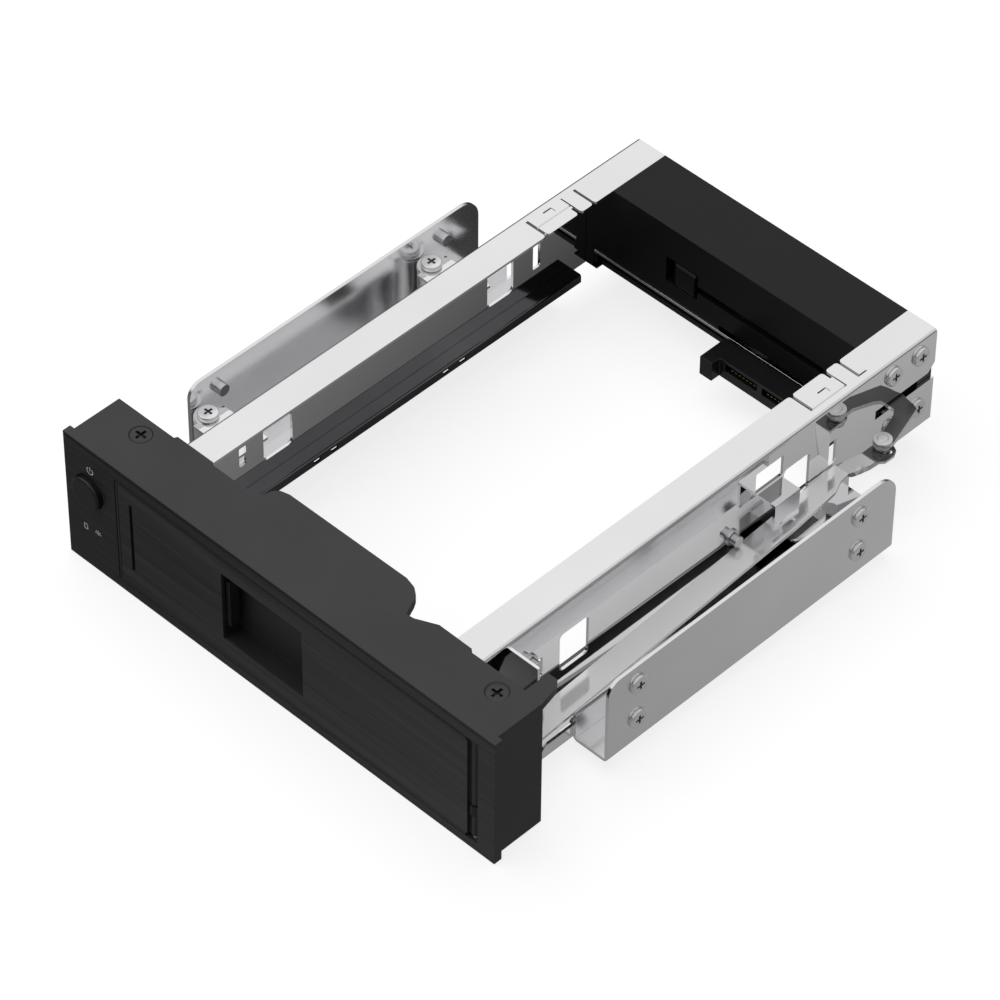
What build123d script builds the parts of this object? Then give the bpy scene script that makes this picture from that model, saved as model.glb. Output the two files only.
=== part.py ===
from build123d import *
import math
import os

# Hot swap cage for one 3.5 inch drive, made to fill a 5.25 inch half height bay.
# Every piece is drawn with the face of the bezel at y = 0, x = 0 at its middle and z = 0 under
# the bezel; save() then moves it so that y = 0 lies halfway between the power button and the rear.
# The door is shut, the drive bay is empty and the eject lever is at rest.
# Widths build up from the drive outwards, heights from the underside of the bezel, and
# everything at the rear is placed from the front of the rear cover.

# Width, from the drive to the edge of the faceplate
SHEET = 0.8
DRIVE_WIDTH = 101.6
DRIVE_CLEARANCE = 0.2
WEB_INNER = DRIVE_WIDTH / 2 + DRIVE_CLEARANCE
WEB_OUTER = WEB_INNER + SHEET
RAIL_GAP = 4.3
PARTITION_THICK = 1.8
PARTITION_X = (-WEB_OUTER - RAIL_GAP - PARTITION_THICK, -WEB_OUTER - RAIL_GAP)
BUTTON_BAY = 13.05
BEZEL_WALL = 1.8
HALF_BODY = BUTTON_BAY + BEZEL_WALL - PARTITION_X[0]
FACE_LIP = 1.5
HALF_FACE = HALF_BODY + FACE_LIP

# Height and length
FACE_HEIGHT = 41.5
ROOF_THICK = 2.8
RAIL_TOP = FACE_HEIGHT - ROOF_THICK
FACE_THICK = 2.5
BODY_DEPTH = 17.4
BODY_BOTTOM = 0.4
BUTTON_PROUD = 1.8
COVER_FRONT = 161.2
COVER_DEPTH = 19.65
REAR_Y = COVER_FRONT + COVER_DEPTH
FRONT_Y = BUTTON_PROUD - (REAR_Y + BUTTON_PROUD) / 2

# Screws
M3_SHANK = 1.5
PAN_HEAD = (2.8, 1.0)
TALL_PAN_HEAD = (2.8, 1.5)
PAN_ROUND = 0.45
PAN_RECESS = (2.6, 0.6, 0.4)
FLAT_HEAD = (2.95, 1.7)
FLAT_SUNK = 0.2
FLAT_RECESS = (3.4, 0.8, 0.8)

# Bezel
BEZEL_FRONT_WALL = 3.2
BEZEL_FLOOR_TOP = 2.4
PARTITION_GAP = 0.1
STOP_LIP = 1.5
STOP_LIP_Y = (3.2, 4.7)
ROOF_FRONT = 5.0
ROOF_BLEND = 2.9
ROOF_EDGE = [
    (-53.0, 0.0), (-52.6, 0.9), (-40.0, 0.9), (-39.6, 0.2), (-25.0, 0.1), (-23.3, 1.8),
    (-22.6, 4.2), (-21.3, 5.6), (-18.7, 6.3), (21.4, 6.4), (24.8, 5.5), (26.8, 4.0),
    (27.8, 2.4), (29.7, -2.1), (32.0, -1.8), (37.8, 0.9), (48.6, 0.8), (49.7, -0.1),
]
EAR_X = HALF_BODY - 5.85
EAR_EDGE = [(0.0, 7.8), (3.0, 7.8), (4.5, 6.2)]
EAR_FRONT = 12.0
EAR_THICK = 2.2
BEZEL_SCREW_LENGTH = 5.2

# Door, its hinge and its finger pocket
HINGE_X = HALF_BODY - 6.15
HINGE_Y = 1.8
DOOR_GAP = 0.3
DOOR_X = (PARTITION_X[1] + DOOR_GAP, HINGE_X - 1.4)
DOOR_Z = (3.0, FACE_HEIGHT - 4.6)
DOOR_THICK = 3.0
SKIN_THICK = 0.4
SKIN_INSET = 0.9
SKIN_GAP = 0.15
GROOVE_X = DOOR_X[0] + 5.3
GROOVE_WIDTH = 1.1
GROOVE_Z = (DOOR_Z[0] + 6.2, DOOR_Z[1] - 4.9)
GROOVE_DEPTH = 0.9
POCKET_X = (-18.4, 9.5)
POCKET_Z = (DOOR_Z[0] + 6.1, DOOR_Z[1] - 5.3)
POCKET_DEPTH = 5.6
POCKET_WALL = 0.9
BARREL_RADIUS = 1.3
BARREL_Z = (DOOR_Z[0] + 1.0, DOOR_Z[1] - 0.4)
BARREL_SETBACK = 0.4
BARREL_NOTCH = 0.6
PIN_RADIUS = 0.8
PIN_CLEARANCE = 0.05
PIN_Z = (BODY_BOTTOM + 1.0, FACE_HEIGHT - 2.3)
HINGE_OPENING_X = HALF_BODY - 4.15

# Cam on the door and the bar it pushes
CAM_Z = (11.0, 14.4)
CAM_BASE_RADIUS = 1.7
CAM_NOSE = (3.6, 0.4)
CAM_NOSE_RADIUS = 0.8
CAM_CLEARANCE = 0.3
CAM_POCKET_X = HALF_BODY - 1.4
CAM_POCKET_Y = (0.6, 6.8)
BAR_THICK = 1.0
BAR_WIDTH = 7.0
BAR_LEFT_AT_ZERO = WEB_OUTER + 4.6
BAR_LEFT_SLOPE = -0.0298
BAR_TOP_AT_ZERO = 12.54
BAR_TOP_SLOPE = 0.0332
BAR_PAD_TOP = 22.2
BAR_NECK_Y = 14.0
BAR_FOOT_Y = 3.8
BAR_FOOT_X = (HINGE_X - 3.2, HINGE_X - 0.2)
BAR_FOOT_BACK = 13.0
BAR_NECK_LENGTH = 6.0
BAR_STRAIGHT_REACH = 32.0
BAR_BLANK_REACH = 10.0
BAR_JOGGLE_LAG = 0.6

# Catch that holds the door shut
CATCH_Z = (18.5, 22.5)
CATCH_Y = (3.3, 4.5)
CATCH_HOOK_X = PARTITION_X[0] + 0.4
CATCH_NOSE = (1.2, 1.0)
CATCH_SLOT_CLEARANCE = 0.3
CATCH_TAB_X = (POCKET_X[0], POCKET_X[0] + 1.4)
CATCH_TAB_Y = (1.4, 4.5)
CATCH_TAB_Z = (POCKET_Z[0] + 3.9, POCKET_Z[1] - 3.6)
CATCH_TAB_BASE = 1.6

# Power button, lights and front board
BUTTON_X = 7.05 - HALF_BODY
BUTTON_Z = FACE_HEIGHT - 15.1
BUTTON_RADIUS = 4.85
BUTTON_ROUND = 0.7
BUTTON_CLEARANCE = 0.2
BUTTON_BACK = 4.2
BUTTON_COLLAR_RADIUS = 5.6
BUTTON_COLLAR_FRONT = 3.3
STEM_RADIUS = 1.5
STEM_CLEARANCE = 0.08
STEM_END = 7.4
SWITCH_SIZE = 6.2
SWITCH_FRONT = 6.4
SWITCH_BACK_WALL = 0.2
BOARD_Y = (9.0, 10.2)
BOARD_X = (2.35 - HALF_BODY, PARTITION_X[0] - 0.7)
BOARD_Z = (5.2, RAIL_TOP - 1.7)
LIGHTS = [(5.05 - HALF_BODY, 13.0), (9.55 - HALF_BODY, 13.3)]
LIGHT_SIZE = 3.2
LIGHT_SKIN = 0.8
LIGHT_GAP = 0.05
BOSS_RADIUS = 1.6
BOSSES = [(4.15 - HALF_BODY, BOARD_Z[0] + 1.8), (4.15 - HALF_BODY, BOARD_Z[1] - 1.8)]
BOARD_SCREW_RADIUS = 0.9
BOARD_SCREW_HEAD = (1.6, 1.0)
BOARD_SCREW_LENGTH = 4.0
BOARD_SCREW_SLOT = (1.6, 0.4, 0.4)

# Rails of folded sheet on either side of the drive
RAIL_FRONT = 8.2
RAIL_BOTTOM = 8.2
FLANGE_INNER = WEB_OUTER - 9.9
FLANGE_START = BODY_DEPTH + 0.8
BEND_OUTER = 1.2
TAB_OUTER = HALF_BODY - 6.55
TAB_END = BODY_DEPTH - 0.2
BEZEL_SCREWS = [(PARTITION_X[0] - 1.8, BODY_DEPTH - 4.8), (TAB_OUTER - 3.5, BODY_DEPTH - 5.0)]
SHELF_TOP = 5.0
SHELF_Y = (29.0, COVER_FRONT - 11.2)
SHELF_LIP_TOP = 8.0
SHELF_LIP_ROUND = 2.4
LEAF_SLIT_Y = (COVER_FRONT - 24.7, COVER_FRONT - 23.8)
LEAF_SLIT_END = WEB_OUTER - 2.5
LEAF_NOTCH_Y = (COVER_FRONT - 12.7, COVER_FRONT - 11.5)
LEAF_NOTCH_END = WEB_OUTER - 7.1
REAR_SLIT_Y = (COVER_FRONT - 7.3, COVER_FRONT - 6.5)
FLANGE_ROUND = 0.9
THIN_SLIT = 0.4
LINE_DEPTH = 0.5
MARK_Y = (COVER_FRONT - 18.9, COVER_FRONT - 16.1)
MARK_LENGTH = 1.8
RIGHT_MARK_X = FLANGE_INNER + 4.0
LEFT_MARK_X = FLANGE_INNER + 6.5
LEFT_LINE_X = LEAF_NOTCH_END + 0.8
SLIT_BRANCH = 3.2
WINDOWS = [(45.0, 55.0, 15.5, 28.0), (124.5, 134.0, 15.5, 28.0)]
SMALL_SLOTS = [(36.7, 39.1, 19.0, 25.4), (141.3, 143.9, 18.0, 26.0)]
SMALL_SLOT_ROUND = 0.4
WINDOW_ROUND = 1.4
LUG_WINDOW = (114.0, 124.0, 27.4, RAIL_TOP - 4.7)
WEB_LUG_Y = (114.6, 123.6)
WEB_LUG_TOP = 27.0
WEB_LUG_OUTER = WEB_OUTER + 6.2
WEB_LUG_BOTTOM = 18.4
FIN_Y = 27.2
FIN_X = WEB_OUTER + 9.8
FIN_Z = (17.4, RAIL_TOP - 1.5)
REST_Y = 125.4
REST_HALF = 6.5
REST_RADIUS = 10.0
REST_TOP = 14.0
REST_SEAT_HALF = 3.2
WEB_STUDS = [(105.8, 18.4), (34.6, 27.0)]
WEB_STUD = (1.5, 2.6)
WEB_STUD_INSET = 0.1
WEB_STUD_WASHER = (2.3, 0.6)
SHELF_STUD_Y = 42.0
SHELF_STUD_Z = 6.7
SHELF_STUD = (1.0, 1.5)
SHELF_STUD_BORE = (0.4, 1.3)

# Runners that carry the drive
RUNNER_TOP = 10.6
RUNNER_HEIGHT = 2.7
RUNNER_BOTTOM = RUNNER_TOP - RUNNER_HEIGHT
RUNNER_INNER = WEB_INNER - 4.5
RUNNER_Y = (19.0, COVER_FRONT - 6.2)
RUNNER_SLOTS = [58.0, 64.0, 104.0, 110.0]
RUNNER_SLOT = 2.4
RUNNER_SLOT_RISE = 0.6

# Rear card, the connector the drive plugs into and the sockets behind it
CARD_THICK = 1.6
CARD_TOP = RUNNER_TOP - 0.1
CARD_Z = (CARD_TOP - CARD_THICK, CARD_TOP)
CARD_HALF = WEB_INNER - 2.6
CARD_Y = (COVER_FRONT + 1.8, REAR_Y - 2.85)
CARD_TONGUE_FRONT = COVER_FRONT - 5.6
SATA_X = (-0.4, 41.4)
SATA_Y = (COVER_FRONT - 7.6, COVER_FRONT - 0.8)
SATA_TOP = CARD_TOP + 4.5
SATA_HORN_Y = COVER_FRONT - 10.6
SATA_HORN_WIDTH = 4.2
SATA_SOCKET_Z = (CARD_TOP + 1.1, CARD_TOP + 3.7)
SATA_SOCKET_DEPTH = 5.0
SATA_DATA_X = (5.6, 16.6)
SATA_POWER_X = (18.4, 36.0)
POWER_SOCKET_X = (-30.0, -6.4)
DATA_SOCKET_X = (1.2, 16.2)
SOCKET_FRONT = COVER_FRONT + 5.2
SOCKET_TOP = CARD_TOP + 6.9
SOCKET_WALL = 1.1
SOCKET_DEPTH = 8.0
TONGUE_THICK = 1.2
TONGUE_SIDE = 1.6
TONGUE_SETBACK = 1.2

# Eject lever, its pivot and rivet, and the block it pushes
LEVER_THICK = 1.2
LEVER_BOTTOM = BAR_PAD_TOP + 1.0
LEVER_Z = (LEVER_BOTTOM, LEVER_BOTTOM + LEVER_THICK)
PIVOT_X = 33.0
PIVOT_Y = COVER_FRONT + 8.8
PIVOT_RADIUS = 1.5
PIVOT_CLEARANCE = 0.06
PIVOT_SHOULDER_RADIUS = 2.6
PIVOT_PLAY = 0.1
LEVER_HUB_RADIUS = 4.4
LEVER_TIP = (-15.4, PIVOT_Y - 4.5)
LEVER_TIP_RADIUS = 1.8
LEVER_TIP_CLEARANCE = 0.25
LEVER_NECK = 1.3
RIVET_X = WEB_OUTER + 7.65
RIVET_Y = COVER_FRONT - 8.5
RIVET_SHANK_RADIUS = 1.2
RIVET_HEAD = (2.55, 0.8)
RIVET_BUTTON = (1.35, 0.3)
RIVET_COLLAR_RADIUS = 2.3
RIVET_END_SIZE = (2.2, 0.9)
RIVET_GAP = 0.12
RIVET_SLIDE = 1.75
LEVER_FRONT = [(7.4, -5.0), (17.4, -6.3), (42.4, -5.4)]
LEVER_CROSSING = [(-6.8, -6.4), (2.2, -6.9), (3.4, -8.6)]
LEVER_HEAD = [(-2.35, 3.4), (-2.45, -0.5), (-1.4, -2.3), (1.4, -2.3), (2.45, 0.7), (2.35, 1.9)]
LEVER_BACK = [(6.1, -2.6), (4.5, -2.0), (1.9, -1.6), (-6.8, 0.8)]
LEVER_REAR = [(44.4, 3.6), (17.4, -0.6), (7.4, -2.4)]
BAR_JOGGLE_Y = (RIVET_Y - 9.3, RIVET_Y - 5.0)
BAR_TAPER = [(-0.75, -16.1), (-2.45, -12.3), (-2.75, -9.3), (-0.45, -7.7), (1.55, -6.0)]
BAR_PAD = [(3.95, -3.2), (4.05, 0.0), (3.2, 1.7), (1.5, 2.5), (-1.4, 2.5), (-2.15, 1.6), (-2.15, -5.0)]
EJECTOR_X = (LEVER_TIP[0] - 3.1, LEVER_TIP[0] + 3.2)
EJECTOR_WING_X = EJECTOR_X[0] - 3.8
EJECTOR_Z = (LEVER_Z[0] - 2.8, LEVER_Z[1] + 3.7)
EJECTOR_Y = (COVER_FRONT - 0.6, COVER_FRONT + 7.8)
EJECTOR_WING_Y = COVER_FRONT + 2.4
EJECTOR_ROUND = 1.6
EJECTOR_PLAY = 0.1
EJECTOR_RAIL_END = COVER_FRONT + 4.0

# Rear cover and the steel plate across it
COVER_GAP = 0.1
COVER_SIDE = WEB_INNER - COVER_GAP
COVER_WALL = 1.8
COVER_SIDE_WALL = 4.0
COVER_CAVITY = COVER_SIDE - COVER_SIDE_WALL
COVER_ROOF = 2.2
COVER_TOP_INNER = RAIL_TOP - COVER_ROOF
COVER_BOTTOM = RAIL_BOTTOM + 0.2
PLATE_THICK = 0.8
PLATE_TOP = CARD_TOP + 4.4
PLATE_Z = (PLATE_TOP - PLATE_THICK, PLATE_TOP)
PLATE_EDGE = COVER_CAVITY + 0.8
PLATE_PROUD = 0.3
PLATE_NOTCH_Y = SOCKET_FRONT - 1.0
COVER_STEP_X = -3.8
COVER_STEP_Z = SATA_TOP + 1.5
EJECT_WINDOW_X = (EJECTOR_WING_X - 0.3, EJECTOR_X[1] + 0.6)
EJECT_WINDOW_Z = (EJECTOR_Z[0] - 0.3, EJECTOR_Z[1] + 0.3)
LEVER_SLOT_X = (EJECT_WINDOW_X[1], PIVOT_X - 1.0)
LEVER_SLOT_Z = (LEVER_Z[0] - 0.6, LEVER_Z[1] + 0.5)
SIDE_PASS_Z = (LEVER_Z[0] - 0.8, LEVER_Z[1] + 0.7)
SIDE_PASS_END = COVER_FRONT + 14.3
SIDE_SLOT_Z = (LEVER_Z[0] - 0.9, LEVER_Z[1] + 0.8)
SIDE_SLOT_START = COVER_FRONT - 2.6
SIDE_SLOT_MOUTH = (2.4, 3.4)
REAR_NOTCH_X = (POWER_SOCKET_X[0] - 1.0, DATA_SOCKET_X[1] + 1.4)
REAR_NOTCH_TOP = SOCKET_TOP + 0.6
PIVOT_TOP = COVER_TOP_INNER - 5.5
PIVOT_BOSS_OVERLAP = 0.5
REAR_SCREWS = [
    (COVER_FRONT + 3.4, COVER_TOP_INNER - 3.0), (COVER_FRONT + 13.6, COVER_TOP_INNER - 3.0),
    (COVER_FRONT + 3.7, 15.6), (COVER_FRONT + 13.6, 15.6),
]
REAR_SCREW_LENGTH = 3.8

# Brackets that screw to the sides of the bay
BRACKET_SHEET = 1.0
BRACKET_FROM_WEB = 21.2
BRACKET_OUTER = WEB_OUTER + BRACKET_FROM_WEB
BRACKET_WIDTH = 11.5
BRACKET_INNER = BRACKET_OUTER - BRACKET_WIDTH
BRACKET_Y = (39.8, 142.5)
BRACKET_Z = (3.4, 30.0)
BRACKET_BAR_GAP = 0.86
BRACKET_INNER_TOP = BAR_TOP_AT_ZERO + BAR_TOP_SLOPE * BRACKET_Y[0] - BAR_THICK - BRACKET_BAR_GAP
BRACKET_BEND = 1.6
BRACKET_CORNERS = (4.0, 6.5)
BAY_SCREWS_Y = (49.9, 129.15)
BAY_SCREWS_Z = (12.06, 23.9)
LEFT_SCREWS_RISE = 0.02
LEFT_SCREWS_Z = tuple(z + LEFT_SCREWS_RISE for z in BAY_SCREWS_Z)
BAY_SHANK = 1.75
BAY_SCREW_LENGTH = 2.9
POST_RADIUS = 3.85
POST_GAP = 0.25
POST_X = BRACKET_OUTER - BRACKET_SHEET - POST_RADIUS - POST_GAP
POST_TOP = 21.2
POST_BORE = 5.0
POSTS_Y = [42.1, 121.1]
POST_LUG_HALF = 5.2
POST_LUG_OUTER = BRACKET_OUTER - BRACKET_SHEET - 0.3


def block(x_span, y_span, z_span):
    """Box between the three pairs of limits."""
    size = [span[1] - span[0] for span in (x_span, y_span, z_span)]
    middle = [(span[1] + span[0]) / 2 for span in (x_span, y_span, z_span)]
    return Pos(*middle) * Box(*size)


def upright(x, y, radius, z_span):
    """Cylinder along z."""
    middle = (z_span[0] + z_span[1]) / 2
    return Pos(x, y, middle) * Cylinder(radius, z_span[1] - z_span[0])


def crosswise(y, z, radius, x_span):
    """Cylinder along x."""
    middle = (x_span[0] + x_span[1]) / 2
    return Pos(middle, y, z) * Rot(0, 90, 0) * Cylinder(radius, x_span[1] - x_span[0])


def lengthwise(x, z, radius, y_span):
    """Cylinder along y."""
    middle = (y_span[0] + y_span[1]) / 2
    return Pos(x, middle, z) * Rot(90, 0, 0) * Cylinder(radius, y_span[1] - y_span[0])


def plan(points, z_span):
    """Outline drawn from above, standing between two heights."""
    face = Polygon(*points, align=None)
    return Pos(0, 0, z_span[0]) * extrude(face, z_span[1] - z_span[0], dir=(0, 0, 1))


def profile(points, x_span):
    """Outline drawn in y and z, running between two values of x."""
    face = Plane.YZ * Polygon(*points, align=None)
    return Pos(x_span[0], 0, 0) * extrude(face, x_span[1] - x_span[0], dir=(1, 0, 0))


def rounded_hole(low_y, high_y, low_z, high_z, radius, x_span):
    """Cutter for a window with round corners in a web."""
    face = Plane.YZ * Pos((low_y + high_y) / 2, (low_z + high_z) / 2) * RectangleRounded(
        high_y - low_y, high_z - low_z, radius)
    return Pos(x_span[0], 0, 0) * extrude(face, x_span[1] - x_span[0], dir=(1, 0, 0))


def wider(span, gap):
    """The same pair of limits with a gap added at both ends."""
    return (span[0] - gap, span[1] + gap)


def placed(points, x, y):
    """Outline points moved by a distance in x and y."""
    return [(x + across, y + along) for across, along in points]


def cross_recess(size, top):
    """Cross recess cut down from the top of a screw that stands along z."""
    length, width, depth = size
    cross = Box(length, width, depth) + Box(width, length, depth)
    return Pos(0, 0, top - depth / 2) * cross


def pan_screw(length, shank_radius=M3_SHANK, head_size=PAN_HEAD):
    """Pan head screw along z, its head above z = 0 and its shank below."""
    radius, height = head_size
    head = Pos(0, 0, height / 2) * Cylinder(radius, height)
    head = fillet(head.edges().sort_by(Axis.Z)[-1], PAN_ROUND)
    shank = Pos(0, 0, -length / 2) * Cylinder(shank_radius, length)
    return head + shank - cross_recess(PAN_RECESS, height)


def mirrored(piece):
    """The same piece on the other side of the cage."""
    return mirror(piece, about=Plane.YZ)


def bezel():
    """Front moulding with the door opening, the light pockets and the screw seats."""
    body = block((-HALF_FACE, HALF_FACE), (0, FACE_THICK), (0, FACE_HEIGHT))
    body += block((-HALF_BODY, HALF_BODY), (FACE_THICK, BODY_DEPTH), (BODY_BOTTOM, FACE_HEIGHT))
    inner = HALF_BODY - BEZEL_WALL
    cavity_y = (BEZEL_FRONT_WALL, BODY_DEPTH + 1)
    body -= block((-inner, inner), cavity_y, (BEZEL_FLOOR_TOP, RAIL_TOP))
    partition_z = (BEZEL_FLOOR_TOP, RAIL_TOP - SHEET - PARTITION_GAP)
    body += block(PARTITION_X, (BEZEL_FRONT_WALL, BODY_DEPTH), partition_z)
    body -= block((-HALF_BODY, HALF_BODY), (BODY_DEPTH - ROOF_BLEND, BODY_DEPTH + 1),
                  (RAIL_TOP, FACE_HEIGHT + 1))
    edge = [(x, BODY_DEPTH + y) for x, y in ROOF_EDGE]
    body += plan([(-HALF_BODY, BODY_DEPTH)] + edge + [(EAR_X, BODY_DEPTH), (HALF_BODY, BODY_DEPTH),
                 (HALF_BODY, ROOF_FRONT), (-HALF_BODY, ROOF_FRONT)], (RAIL_TOP, FACE_HEIGHT))
    ear = placed(EAR_EDGE, EAR_X, BODY_DEPTH)
    body += plan([(EAR_X, EAR_FRONT)] + ear + [(HALF_BODY, BODY_DEPTH), (HALF_BODY, EAR_FRONT)],
                 (FACE_HEIGHT - EAR_THICK, FACE_HEIGHT))
    return cut_bezel(body)


def cut_bezel(body):
    """Openings, bores, bosses and pockets of the bezel."""
    opening_x = (PARTITION_X[1], HINGE_OPENING_X)
    body -= block(opening_x, (-1, BEZEL_FRONT_WALL), wider(DOOR_Z, DOOR_GAP))
    body += block((PARTITION_X[1], PARTITION_X[1] + STOP_LIP), STOP_LIP_Y,
                  (BEZEL_FLOOR_TOP, RAIL_TOP))
    body -= block((PARTITION_X[0] - 1, PARTITION_X[1] + STOP_LIP + 1),
                  (BEZEL_FRONT_WALL, CATCH_Y[1] + CATCH_SLOT_CLEARANCE),
                  wider(CATCH_Z, CATCH_SLOT_CLEARANCE))
    body -= block((HINGE_OPENING_X - 1, CAM_POCKET_X), CAM_POCKET_Y, wider(CAM_Z, CAM_CLEARANCE))
    body -= upright(HINGE_X, HINGE_Y, PIN_RADIUS, PIN_Z)
    body -= lengthwise(BUTTON_X, BUTTON_Z, BUTTON_RADIUS + BUTTON_CLEARANCE,
                       (-1, BEZEL_FRONT_WALL + 1))
    half = LIGHT_SIZE / 2 + LIGHT_GAP
    for x, z in LIGHTS:
        body -= block((x - half, x + half), (LIGHT_SKIN, BEZEL_FRONT_WALL + 1), (z - half, z + half))
    for x, z in BOSSES:
        body += lengthwise(x, z, BOSS_RADIUS, (BEZEL_FRONT_WALL, BOARD_Y[0]))
        body -= lengthwise(x, z, BOARD_SCREW_RADIUS,
                           (BOARD_Y[1] - BOARD_SCREW_LENGTH, BOARD_Y[0] + 1))
    for x, y in BEZEL_SCREWS:
        body -= flat_head(x, y)
    return body


def flat_head(x, y):
    """Countersunk head and shank of a bezel screw, up to the top of the bezel."""
    radius, depth = FLAT_HEAD
    head = Pos(x, y, FACE_HEIGHT - depth / 2) * Cone(M3_SHANK, radius, depth)
    return head + upright(x, y, M3_SHANK, (FACE_HEIGHT - BEZEL_SCREW_LENGTH, FACE_HEIGHT - depth))


def barrel_shape(gap):
    """Hinge barrel of the door, or the space it needs."""
    return upright(HINGE_X, HINGE_Y, BARREL_RADIUS + gap, wider(BARREL_Z, gap))


def skin_shape(gap):
    """Sheet on the face of the door, or the recess it lies in."""
    x_span = (DOOR_X[0] + SKIN_INSET - gap, DOOR_X[1])
    return block(x_span, (0, SKIN_THICK), wider(DOOR_Z, gap - SKIN_INSET))


def door_panel():
    """Door leaf with its hinge barrel, the finger pocket and room for the cam."""
    leaf = block((DOOR_X[0], HINGE_X), (0, DOOR_THICK), DOOR_Z)
    leaf -= skin_shape(SKIN_GAP)
    beside = (DOOR_X[1] - BARREL_NOTCH, HINGE_X + 1)
    leaf -= block(beside, (-1, DOOR_THICK + 1), (DOOR_Z[0] - 1, BARREL_Z[0]))
    leaf -= block(beside, (-1, DOOR_THICK + 1), (BARREL_Z[1], DOOR_Z[1] + 1))
    leaf -= block((DOOR_X[1], HINGE_X + 1), (-1, SKIN_THICK + BARREL_SETBACK), wider(DOOR_Z, 1))
    leaf += barrel_shape(0)
    leaf += block(wider(POCKET_X, POCKET_WALL), (DOOR_THICK - 1, POCKET_DEPTH + POCKET_WALL),
                  wider(POCKET_Z, POCKET_WALL))
    leaf -= block(POCKET_X, (-1, POCKET_DEPTH), POCKET_Z)
    leaf -= block((GROOVE_X - GROOVE_WIDTH / 2, GROOVE_X + GROOVE_WIDTH / 2),
                  (-1, GROOVE_DEPTH), GROOVE_Z)
    leaf -= upright(HINGE_X, HINGE_Y, CAM_BASE_RADIUS, CAM_Z)
    leaf += upright(HINGE_X, HINGE_Y, BARREL_RADIUS, CAM_Z)
    leaf -= upright(HINGE_X, HINGE_Y, PIN_RADIUS + PIN_CLEARANCE, (0, FACE_HEIGHT))
    tab_room = wider(CATCH_TAB_Z, CATCH_SLOT_CLEARANCE)
    return leaf - block((POCKET_X[0] - POCKET_WALL - 1, POCKET_X[0] + 0.1),
                        wider(CATCH_TAB_Y, 0.2), tab_room)


def door_skin():
    """Thin brushed sheet on the face of the door."""
    skin = skin_shape(0)
    skin -= block(POCKET_X, (-1, 1), POCKET_Z)
    return skin - block((GROOVE_X - GROOVE_WIDTH / 2, GROOVE_X + GROOVE_WIDTH / 2), (-1, 1), GROOVE_Z)


def door_cam():
    """Cam pressed on the hinge barrel."""
    nose_x, nose_y = HINGE_X + CAM_NOSE[0], HINGE_Y + CAM_NOSE[1]
    reach = math.hypot(*CAM_NOSE)
    heading = math.atan2(CAM_NOSE[1], CAM_NOSE[0])
    lean = math.acos((CAM_BASE_RADIUS - CAM_NOSE_RADIUS) / reach)
    points = []
    for side in (1, -1):
        angle = heading + side * lean
        points.append((HINGE_X + CAM_BASE_RADIUS * math.cos(angle),
                       HINGE_Y + CAM_BASE_RADIUS * math.sin(angle)))
        points.append((nose_x + CAM_NOSE_RADIUS * math.cos(angle),
                       nose_y + CAM_NOSE_RADIUS * math.sin(angle)))
    cam = plan([points[0], points[1], points[3], points[2]], CAM_Z)
    cam += upright(HINGE_X, HINGE_Y, CAM_BASE_RADIUS, CAM_Z)
    cam += upright(nose_x, nose_y, CAM_NOSE_RADIUS, CAM_Z)
    return cam - upright(HINGE_X, HINGE_Y, BARREL_RADIUS, CAM_Z)


def hinge_pin():
    """Steel pin that the door turns on."""
    return upright(HINGE_X, HINGE_Y, PIN_RADIUS, PIN_Z)


def door_catch():
    """Sliding catch behind the door, with a finger tab in the pocket."""
    bar = block((CATCH_HOOK_X, CATCH_TAB_X[0]), CATCH_Y, CATCH_Z)
    tab = block((POCKET_X[0] - POCKET_WALL - CATCH_TAB_BASE, CATCH_TAB_X[1]), CATCH_Y, CATCH_TAB_Z)
    tab += block(CATCH_TAB_X, CATCH_TAB_Y, CATCH_TAB_Z)
    across, along = CATCH_NOSE
    nose = plan([(CATCH_HOOK_X - 1, CATCH_Y[1] + 1), (CATCH_HOOK_X - 1, CATCH_Y[1] - along),
                 (CATCH_HOOK_X + across, CATCH_Y[1] + 1)], CATCH_Z)
    return bar + tab - nose


def power_button():
    """Round push button with its collar and stem."""
    button = lengthwise(BUTTON_X, BUTTON_Z, BUTTON_RADIUS, (-BUTTON_PROUD, BUTTON_BACK))
    button = fillet(button.edges().sort_by(Axis.Y)[0], BUTTON_ROUND)
    collar_y = (BUTTON_COLLAR_FRONT, BUTTON_BACK)
    flat_x = HALF_BODY - BEZEL_WALL - BUTTON_CLEARANCE
    button += lengthwise(BUTTON_X, BUTTON_Z, BUTTON_COLLAR_RADIUS, collar_y) & block(
        (-flat_x, 0), collar_y, (0, FACE_HEIGHT))
    return button + lengthwise(BUTTON_X, BUTTON_Z, STEM_RADIUS, (BUTTON_BACK, STEM_END))


def front_board():
    """Small circuit board behind the power button."""
    board = block(BOARD_X, BOARD_Y, BOARD_Z)
    for x, z in BOSSES:
        board -= lengthwise(x, z, BOARD_SCREW_RADIUS, wider(BOARD_Y, 1))
    return board


def power_switch():
    """Push switch soldered to the front board."""
    half = SWITCH_SIZE / 2
    switch = block((BUTTON_X - half, BUTTON_X + half), (SWITCH_FRONT, BOARD_Y[0]),
                   (BUTTON_Z - half, BUTTON_Z + half))
    return switch - lengthwise(BUTTON_X, BUTTON_Z, STEM_RADIUS + STEM_CLEARANCE,
                               (SWITCH_FRONT - 1, BOARD_Y[0] - SWITCH_BACK_WALL))


def light_guides():
    """Two clear blocks between the lamps on the board and the thin skin of the face."""
    half = LIGHT_SIZE / 2
    return [block((x - half, x + half), (LIGHT_SKIN, BOARD_Y[0]), (z - half, z + half))
            for x, z in LIGHTS]


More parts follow.
